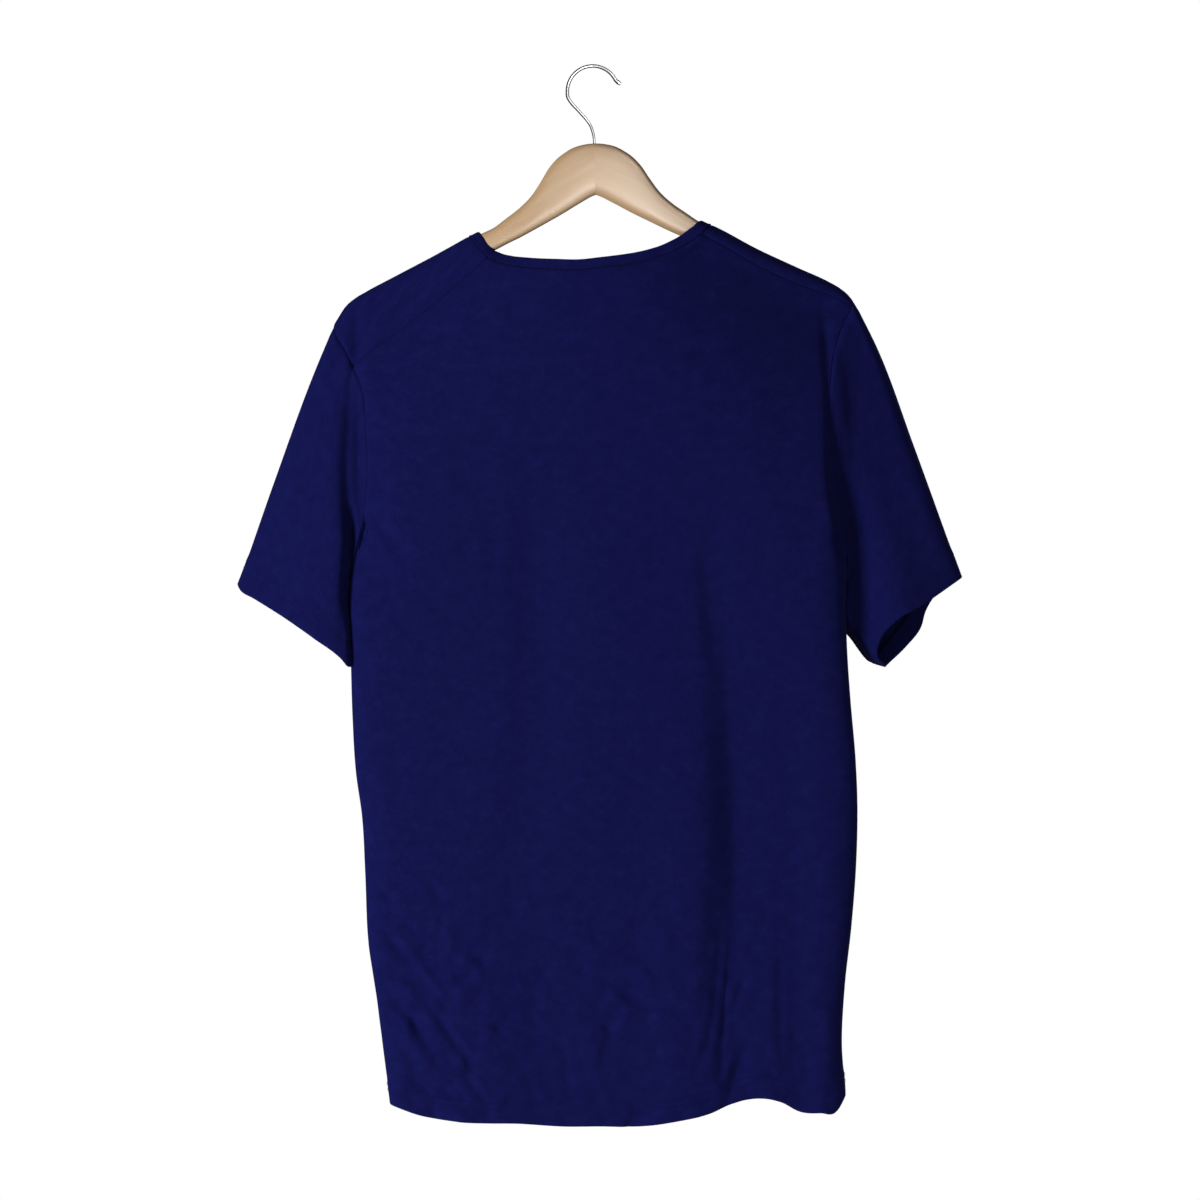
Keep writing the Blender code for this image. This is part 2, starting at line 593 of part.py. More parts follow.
def build_shirt(cloth):
    """The five sewn pieces, as patches of one surface."""
    arm_l, arm_r = seam_curve(ARMHOLE_LEFT), seam_curve(ARMHOLE_RIGHT)
    neck_l, neck_r = seam_curve(NECK_SIDE_LEFT), seam_curve(NECK_SIDE_RIGHT)
    tab_l = tab(arm_l, neck_l, column(SHOULDER_SEAM, "left"), mirrored=False)
    tab_r = tab(arm_r, neck_r, column(SHOULDER_SEAM, "right"), mirrored=True)

    neck_back = traced(NECK_BACK, NECK_COLUMNS)
    neck_back[0], neck_back[-1] = tab_l[0][-1], tab_r[0][0]
    back_top = np.concatenate([tab_l[0], neck_back[1:-1], tab_r[0]])
    back = placed_grid(panel_grid(BACK, back_top, arm_l, arm_r), BACK)

    neck_front = traced(NECK_FRONT, NECK_COLUMNS)
    neck_front[0], neck_front[-1] = tab_l[-1][-1], tab_r[-1][0]
    front_top = np.concatenate([tab_l[-1], neck_front[1:-1], tab_r[-1]])
    hole = np.full((len(tab_l) - 1, NECK_COLUMNS - 1, 2), np.nan)
    shoulders = np.concatenate([tab_l[:-1], hole, tab_r[:-1]], axis=1)
    front = placed_grid(np.concatenate([shoulders, panel_grid(FRONT, front_top, arm_l, arm_r)]))

    tab_rows = len(tab_l) - 1
    rings = {}
    for name, col in (("left", 0), ("right", -1)):
        rising = [back[row][col] for row in range(UPPER_ROWS, 0, -1)]
        falling = [front[row][col] for row in range(tab_rows + UPPER_ROWS)]
        rings[name] = rising + falling
    sleeve_l = sleeve_grid(rings["left"], SLEEVE_LEFT, -1)
    sleeve_r = sleeve_grid(rings["right"], SLEEVE_RIGHT, 1)

    first, last = SHOULDER_COLUMNS, SHOULDER_COLUMNS + NECK_COLUMNS
    neck_ring = ([back[0][col] for col in range(first, last)]
                 + [front[row][last] for row in range(tab_rows)]
                 + [front[tab_rows][col] for col in range(last, first, -1)]
                 + [front[row][first] for row in range(tab_rows, 0, -1)])

    solid = {name: [[spot and place(*spot) for spot in row] for row in grid]
             for name, grid in (("back_panel", back), ("front_panel", front),
                                ("sleeve_left", sleeve_l), ("sleeve_right", sleeve_r))}
    solid["neckband"] = band_grid([place(*spot) for spot in neck_ring], neck_ring)
    cells = {
        "back_panel": quads(solid["back_panel"]),
        "front_panel": quads(solid["front_panel"]),
        "sleeve_left": quads(solid["sleeve_left"], closed=True),
        "sleeve_right": quads(solid["sleeve_right"], closed=True, flip=True),
        "neckband": quads(solid["neckband"], closed=True),
    }
    cells["back_panel"] = [cell[::-1] for cell in cells["back_panel"]]
    pieces = {name: (solid[name], cells[name]) for name in solid}
    normals = shared_normals(pieces)
    for name, (grid, faces) in pieces.items():
        cloth_object(name, grid, faces, normals, cloth)


def band_grid(ring, forms):
    """Neckband: rows from its seam to its edge, each point moved across the seam."""
    count = len(ring)
    rows = [[], [], []]
    for index, point in enumerate(ring):
        side, x, z, _ = forms[index]
        along = (ring[(index + 1) % count] - ring[index - 1]).normalized()
        across = cloth_normal(side, x, z).cross(along).normalized()
        for row, share in zip(rows, (0.0, 0.5, 1.0)):
            row.append(point + across * (BAND_WIDTH * share))
    return rows


def cloth_normal(side, x, z):
    """Outward normal of the cloth at a place."""
    girth, fall = cloth_coordinates(side, x, z)
    step = 1.0

    def spot(g, f):
        return place(BACK if f < 0 else FRONT, *form(g, f))

    across = spot(girth + step, fall) - spot(girth - step, fall)
    down = spot(girth, fall + step) - spot(girth, fall - step)
    return across.cross(down).normalized()


def arm_section(x, top, low):
    """Rounded section of a hanger arm at one station."""
    centre = arm_forward(x)
    flat = ARM_THICK / 2 - ARM_CORNER
    points = []
    for y_sign, z_at, start in ((1, top - ARM_CORNER, 0), (-1, top - ARM_CORNER, 90),
                                (-1, low + ARM_CORNER, 180), (1, low + ARM_CORNER, 270)):
        for turn in (0, 30, 60, 90):
            angle = math.radians(start + turn)
            points.append(Vector((x, centre + y_sign * flat + ARM_CORNER * math.cos(angle),
                                  z_at + ARM_CORNER * math.sin(angle))))
    return points


def build_arm(name, hand, wood):
    """Half of the wooden hanger, a loft of sections from the glue joint to the rounded end."""
    stations = [(JOINT_GAP / 2, CROWN_Z, NOTCH_Z)] + [(row.x, row.top, row.low) for row in ARM]
    first, last = ARM_STATIONS[0], ARM_TIP[-1].x
    for x in ARM_STATIONS:
        top = min(ridge_z(x), ridge_z(-x)) - WALL / 2 - ARM_SEAT
        height = lerp(ARM_HEIGHT_NECK, ARM_HEIGHT_END, (x - first) / (last - first))
        stations.append((x, top, top - height))
    _, top, low = stations[-1]
    stations += [(tip.x, top - tip.sink, low + tip.lift) for tip in ARM_TIP]
    scales = [1.0] * (len(stations) - len(ARM_TIP)) + column(ARM_TIP, "scale")
    mesh = bmesh.new()
    loops = []
    for (x, top, low), scale in zip(stations, scales):
        section = arm_section(x, top, low)
        middle = sum(section, Vector()) / len(section)
        loops.append([mesh.verts.new(mirrored(middle + (p - middle) * scale, hand) * MM)
                      for p in section])
    for one, two in zip(loops, loops[1:]):
        for k in range(len(one)):
            m = (k + 1) % len(one)
            mesh.faces.new((one[k], one[m], two[m], two[k]))
    mesh.faces.new(loops[0])
    mesh.faces.new(loops[-1])
    bmesh.ops.recalc_face_normals(mesh, faces=mesh.faces)
    return add_object(name, mesh, wood)


def mirrored(point, hand):
    """Point of the right half, or its mirror image at the left."""
    return Vector((point.x * hand, point.y, point.z))


def build_hook(chrome):
    """Chrome wire: the open loop over the rail, then the stem down to the wood."""
    centre_z = WIRE_RADIUS - LOOP_RADIUS
    angles = np.radians(np.linspace(LOOP_START_ANGLE, 180, LOOP_POINTS))
    route = [(HOOK_TIP.x, HOOK_TIP.z)]
    route += [(LOOP_RADIUS * math.cos(a), centre_z + LOOP_RADIUS * math.sin(a)) for a in angles]
    route += list(map(tuple, smooth_path(STEM, STEM_STEPS)))[1:]
    curve = bpy.data.curves.new("hanger_hook", "CURVE")
    curve.dimensions = "3D"
    curve.bevel_depth = WIRE_RADIUS * MM
    curve.bevel_resolution = 2
    curve.use_fill_caps = True
    spline = curve.splines.new("POLY")
    spline.points.add(len(route) - 1)
    for index, (point, (x, z)) in enumerate(zip(spline.points, route)):
        point.co = (x * MM, 0, z * MM, 1)
        point.radius = TIP_SWELL if index == 0 else 1.0
    curve.materials.append(chrome)
    hook = bpy.data.objects.new("hanger_hook", curve)
    bpy.context.scene.collection.objects.link(hook)
    return hook


def main():
    for obj in list(bpy.data.objects):
        bpy.data.objects.remove(obj)
    build_shirt(make_material("jersey", CLOTH_BLUE, 0.9))
    wood = make_material("lacquered_wood", WOOD_TAN, 0.35)
    build_arm("hanger_arm_left", -1, wood)
    build_arm("hanger_arm_right", 1, wood)
    build_hook(make_material("chrome", CHROME, 0.12, 1.0))


main()
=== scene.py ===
"""Looks of a plain dark blue jersey t-shirt that hangs on a lacquered wooden hanger.

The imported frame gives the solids; this script dresses them. Tables are in millimetres, in the
frame's own axes: the origin is the inside of the hook's crown, +Z is up, -Y is the garment's
back, and -X is the wearer's left. Meshes are in metres.
"""

import logging
import math
from dataclasses import dataclass, field
from enum import Enum, IntEnum
from typing import Callable, NamedTuple, Sequence

import bmesh
import bpy
import numpy as np
from mathutils import Matrix, Vector
from mathutils.kdtree import KDTree


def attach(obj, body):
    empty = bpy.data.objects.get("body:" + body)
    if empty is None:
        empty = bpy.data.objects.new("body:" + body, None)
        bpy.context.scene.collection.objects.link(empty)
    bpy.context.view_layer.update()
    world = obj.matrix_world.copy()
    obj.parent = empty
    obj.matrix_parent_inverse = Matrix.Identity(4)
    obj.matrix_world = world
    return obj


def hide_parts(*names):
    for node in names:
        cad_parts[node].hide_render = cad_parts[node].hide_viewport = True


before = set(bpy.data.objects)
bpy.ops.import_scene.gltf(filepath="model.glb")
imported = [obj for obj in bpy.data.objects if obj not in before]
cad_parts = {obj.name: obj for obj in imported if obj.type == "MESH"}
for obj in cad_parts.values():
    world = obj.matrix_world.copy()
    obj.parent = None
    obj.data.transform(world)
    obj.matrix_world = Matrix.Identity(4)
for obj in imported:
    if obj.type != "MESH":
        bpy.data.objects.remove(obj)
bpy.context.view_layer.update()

LOG = logging.getLogger("shirt")
MM = 0.001
PATH_SAMPLES = 240
WELD = 1e-6
Array = np.ndarray
Line = tuple[Array, Array]


class Side(IntEnum):
    """The two layers of the shirt, named by the way they face."""

    BACK = -1
    FRONT = 1


class FoldShape(Enum):
    """How the bottom of a fold is rounded: the power of its section."""

    SOFT = 2.0
    CREASE = 1.25


class Ridge(NamedTuple):
    """A point of the shirt's top outline."""

    x: float
    z: float


class SideEdge(NamedTuple):
    """Left and right edge of the body at one height."""

    z: float
    left: float
    right: float


class Hem(NamedTuple):
    """Height of the hem of both layers at one place across."""

    x: float
    back: float
    front: float


class Seam(NamedTuple):
    """A point of a seam on one layer."""

    side: Side
    x: float
    z: float


class Shoulder(NamedTuple):
    """Drop of the set-back shoulder seams below the ridge, from armhole to neck."""

    share: float
    left: float
    right: float


class Spot(NamedTuple):
    """A place in the plane of the photographed side."""

    x: float
    z: float


class Mark(NamedTuple):
    """A point of a fold's path with the fold's depth there."""

    x: float
    z: float
    depth: float


class Fold(NamedTuple):
    """A fold of the cloth: a trough, or a ridge where its depths are less than 0.

    The side to the right of a path that runs down is as wide as its width times right.
    """

    side: Side
    width: float
    path: tuple[Mark, ...]
    shape: FoldShape = FoldShape.SOFT
    lip: float = 0.25
    right: float = 1.0


B, F = Side.BACK, Side.FRONT
ENDS = (0, -1)


# ---------------------------------------------------------------- curves

def ease(t: Array) -> Array:
    """Smooth step from 0 to 1."""
    t = np.clip(t, 0.0, 1.0)
    return t * t * (3 - 2 * t)


def lerp(a: Array, b: Array, t: Array) -> Array:
    """Value between a and b."""
    return a + (b - a) * t


def column(rows: Sequence[NamedTuple], name: str) -> Array:
    """One named column of a table."""
    return np.array([getattr(row, name) for row in rows], float)


def smooth_curve(xs: Array, ys: Array, x: Array) -> Array:
    """Smooth curve through a table, straight on past its ends.

    Args:
        xs: The table's places, rising.
        ys: Its values.
        x: Places to read.

    Returns:
        The curve's values there.
    """
    xs, ys, x = np.asarray(xs, float), np.asarray(ys, float), np.asarray(x, float)
    slopes = np.gradient(ys, xs)
    i = np.clip(np.searchsorted(xs, x) - 1, 0, len(xs) - 2)
    width = xs[i + 1] - xs[i]
    t = (x - xs[i]) / width
    s = np.clip(t, 0, 1)
    inside = ((1 + 2 * s) * (1 - s) ** 2 * ys[i] + s * (1 - s) ** 2 * width * slopes[i]
              + s * s * (3 - 2 * s) * ys[i + 1] + s * s * (s - 1) * width * slopes[i + 1])
    return inside + (t - s) * width * slopes[i + (t > 1)]


def lengths(points: Array) -> Array:
    """Length along a line up to each of its points."""
    return np.concatenate([[0], np.cumsum(np.linalg.norm(np.diff(points, axis=0), axis=1))])


def signed_power(values: Array, power: float) -> Array:
    """Power of the values' sizes, with their signs kept."""
    return np.sign(values) * np.abs(values) ** power


def smooth_path(points: Array, stations: Array) -> Array:
    """Points on a smooth curve through the given ones.

    Args:
        points: Points of the path, one a row.
        stations: Shares of the path's length, from 0 to 1.

    Returns:
        One row for each station.
    """
    points = np.asarray(points, float)
    knots = lengths(points)
    dense = np.linspace(0, knots[-1], PATH_SAMPLES)
    curve = np.stack([smooth_curve(knots, axis, dense) for axis in points.T], axis=1)
    run = lengths(curve)
    even = np.asarray(stations) * run[-1]
    return np.stack([np.interp(even, run, axis) for axis in curve.T], axis=1)


def coons(low: Array, high: Array, left: Array, right: Array, u: Array, v: Array) -> Array:
    """Patch between four edges.

    Args:
        low: First row of points, left to right.
        high: Last row.
        left: First column, from low to high.
        right: Last column.
        u: Shares of the columns.
        v: Shares of the rows.

    Returns:
        Points as an array of rows, columns and axes.
    """
    u, v = u[None, :, None], v[:, None, None]
    low, high, left, right = low[None], high[None], left[:, None], right[:, None]
    corners = ((1 - u) * (1 - v) * low[:, :1] + u * (1 - v) * low[:, -1:]
               + (1 - u) * v * high[:, :1] + u * v * high[:, -1:])
    return (1 - v) * low + v * high + (1 - u) * left + u * right - corners


def shares(length: float, spacing: float, margins: Sequence[float] = (),
           both: bool = False) -> Array:
    """Shares of a length, closer together at a seam.

    Args:
        length: The whole length.
        spacing: Distance of the points away from the seam.
        margins: Distances of the first points from the seam.
        both: Whether the far end is a seam too.

    Returns:
        Rising shares from 0 to 1.
    """
    start = np.array([0.0, *margins])
    end = length - start[::-1] if both else np.array([length])
    count = max(1, round((end[0] - start[-1]) / spacing))
    middle = np.linspace(start[-1], end[0], count + 1)[1:-1]
    return np.concatenate([start, middle, end]) / length


# ---------------------------------------------------------------- the folds

class Wave(NamedTuple):
    """A broad low wave: its turns for each millimetre across and up, and its height."""

    along_x: float
    along_z: float
    phase: float
    height: float


class Facets(NamedTuple):
    """The crumple of a layer: the middle of each small facet, and how it leans."""

    seeds: Array
    slopes: Array


@dataclass
class FoldField:
    """All folds of the cloth, the large ones and the creases, and its small unevenness.

    The unevenness is scattered from one seed: short wrinkles, denser and deeper towards the
    hem, broad waves, and a crumple of small facets that starts at a height and is strongest
    to the left of its turn.
    """

    folds: tuple[Fold, ...]
    step: float = 14.0
    reach: float = 3.2
    lip_place: float = 1.75
    lip_width: float = 0.7
    seed: int = 7
    wrinkle_count: int = 230
    wrinkle_lowness: tuple[float, float] = (3.0, 1.2)
    wrinkle_heights: tuple[float, float] = (-240.0, -938.0)
    wrinkle_across: tuple[float, float] = (-208.0, 198.0)
    wrinkle_length: tuple[float, float] = (7.0, 26.0)
    wrinkle_width: tuple[float, float] = (3.2, 7.5)
    wrinkle_depth: tuple[float, float] = (-0.5, 0.7)
    wrinkle_turn: float = 0.9
    wrinkle_bend: float = 0.12
    wrinkle_least: float = 0.15
    wrinkle_deepening: tuple[float, float] = (0.5, 0.4)
    wave_count: int = 16
    wave_length: tuple[float, float] = (70.0, 230.0)
    wave_turn: float = 0.45
    wave_height: tuple[float, float] = (0.05, 0.16)
    facet_count: int = 620
    facet_slope: float = 0.21
    facet_reach: float = 8.0
    facet_across: tuple[float, float] = (-235.0, 225.0)
    facet_heights: tuple[float, float] = (-960.0, -640.0)
    crumple_box: tuple[float, float, float] = (-240.0, 230.0, -680.0)
    crumple_start: float = -690.0
    crumple_rise: float = 150.0
    crumple_turn: float = -70.0
    crumple_blend: float = 90.0
    crumple_right: float = 0.5
    batch: int = 4000
    waves: dict[Side, list[Wave]] = field(init=False, default_factory=dict)
    facets: dict[Side, Facets] = field(init=False, default_factory=dict)

    def __post_init__(self) -> None:
        """Scatters the small wrinkles, the broad waves and the facets."""
        chance = np.random.default_rng(self.seed)
        self.folds += tuple(self.small_wrinkle(chance, side) for side in (B, F)
                            for _ in range(self.wrinkle_count))
        for side in (B, F):
            self.waves[side] = [self.wave(chance) for _ in range(self.wave_count)]
            seeds = np.stack([chance.uniform(*self.facet_across, self.facet_count),
                              chance.uniform(*self.facet_heights, self.facet_count)], axis=1)
            self.facets[side] = Facets(seeds, chance.normal(0, 1, (self.facet_count, 2)))

    def wave(self, chance: np.random.Generator) -> Wave:
        """One broad wave, whose crests run mostly down the cloth.

        Args:
            chance: Source of the scatter.

        Returns:
            The wave.
        """
        length = chance.uniform(*self.wave_length)
        turn = chance.normal(0, self.wave_turn)
        return Wave(math.cos(turn) / length, math.sin(turn) / length, chance.uniform(0, 1),
                    chance.uniform(*self.wave_height))

    def small_wrinkle(self, chance: np.random.Generator, side: Side) -> Fold:
        """One soft short wrinkle, deeper and denser towards the hem.

        Args:
            chance: Source of the scatter.
            side: Layer that it is on.

        Returns:
            The wrinkle.
        """
        low = chance.beta(*self.wrinkle_lowness)
        z = lerp(*self.wrinkle_heights, low)
        x = chance.uniform(*self.wrinkle_across)
        length = chance.uniform(*self.wrinkle_length)
        turn = chance.normal(math.pi / 2, self.wrinkle_turn)
        dx, dz = length * math.cos(turn), length * math.sin(turn)
        start, rise = self.wrinkle_deepening
        strength = lerp(self.wrinkle_least, 1.0, ease(np.array((low - start) / rise)))
        depth = chance.uniform(*self.wrinkle_depth) * strength
        bend = chance.normal(0, self.wrinkle_bend) * length
        marks = (Mark(x - dx, z - dz, 0.0), Mark(x + bend, z, float(depth)),
                 Mark(x + dx, z + dz, 0.0))
        return Fold(side, chance.uniform(*self.wrinkle_width), marks)

    def crumple(self, facets: Facets, x: Array, z: Array) -> Array:
        """Small flat facets, as cloth keeps where it was squeezed; most low at the left.

        Args:
            facets: The layer's facets.
            x: Places across.
            z: Heights.

        Returns:
            Depths.
        """
        total = np.zeros_like(x)
        for start in range(0, len(x), self.batch):
            part = slice(start, start + self.batch)
            dx = x[part, None] - facets.seeds[:, 0]
            dz = z[part, None] - facets.seeds[:, 1]
            away = (dx * dx + dz * dz) / self.facet_reach ** 2
            weight = np.exp(-(away - away.min(axis=1, keepdims=True)))
            height = dx * facets.slopes[:, 0] + dz * facets.slopes[:, 1]
            total[part] = (weight * height).sum(axis=1) / weight.sum(axis=1)
        low = ease((self.crumple_start - z) / self.crumple_rise)
        left = lerp(self.crumple_right, 1.0, ease((self.crumple_turn - x) / self.crumple_blend))
        return self.facet_slope * total * low * left

    def depth(self, side: Array, x: Array, z: Array) -> Array:
        """How far the folds push the cloth in towards the middle of the shirt.

        Args:
            side: Layer of each place.
            x: Places across.
            z: Heights.

        Returns:
            Depths, less than 0 where the cloth stands out.
        """
        total = np.zeros_like(x)
        for fold in self.folds:
            marks = np.array(fold.path)
            room = fold.width * self.reach * max(fold.right, 1.0)
            low, high = marks.min(0)[:2] - room, marks.max(0)[:2] + room
            near = ((side == fold.side) & (x > low[0]) & (x < high[0])
                    & (z > low[1]) & (z < high[1]))
            if near.any():
                total[near] += self.one(fold, marks, x[near], z[near])
        for layer, waves in self.waves.items():
            on = side == layer
            for wave in waves:
                turn = 2 * np.pi * (x[on] * wave.along_x + z[on] * wave.along_z + wave.phase)
                total[on] += wave.height * np.sin(turn)
        left, right, top = self.crumple_box
        for layer, facets in self.facets.items():
            on = (side == layer) & (z < top) & (x > left) & (x < right)
            total[on] += self.crumple(facets, x[on], z[on])
        return total

    def one(self, fold: Fold, marks: Array, x: Array, z: Array) -> Array:
        """Depth of one fold at places near it.

        Args:
            fold: The fold.
            marks: Its path as rows of place across, height and depth.
            x: Places across.
            z: Heights.

        Returns:
            Depths.
        """
        length = np.linalg.norm(np.diff(marks[:, :2], axis=0), axis=1).sum()
        count = max(3, math.ceil(length / self.step))
        line = smooth_path(marks, np.linspace(0, 1, count + 1))
        best = np.full_like(x, np.inf)
        depth = np.zeros_like(x)
        width = np.full_like(x, fold.width)
        for (ax, az, ad), (bx, bz, bd) in zip(line[:-1], line[1:]):
            dx, dz = bx - ax, bz - az
            t = np.clip(((x - ax) * dx + (z - az) * dz) / (dx * dx + dz * dz), 0, 1)
            away = np.hypot(x - ax - t * dx, z - az - t * dz)
            closer = away < best
            best[closer] = away[closer]
            depth[closer] = lerp(ad, bd, t[closer])
            right = (x - ax) * dz < (z - az) * dx
            width[closer] = fold.width * np.where(right[closer], fold.right, 1.0)
        t = best / width
        trough = np.exp(-t ** fold.shape.value)
        lips = fold.lip * np.exp(-((t - self.lip_place) / self.lip_width) ** 2)
        return depth * (trough - lips)


def path(*numbers: float) -> tuple[Mark, ...]:
    """Marks of a fold from its numbers: x, z and depth of each in turn."""
    return tuple(Mark(*numbers[i:i + 3]) for i in range(0, len(numbers), 3))


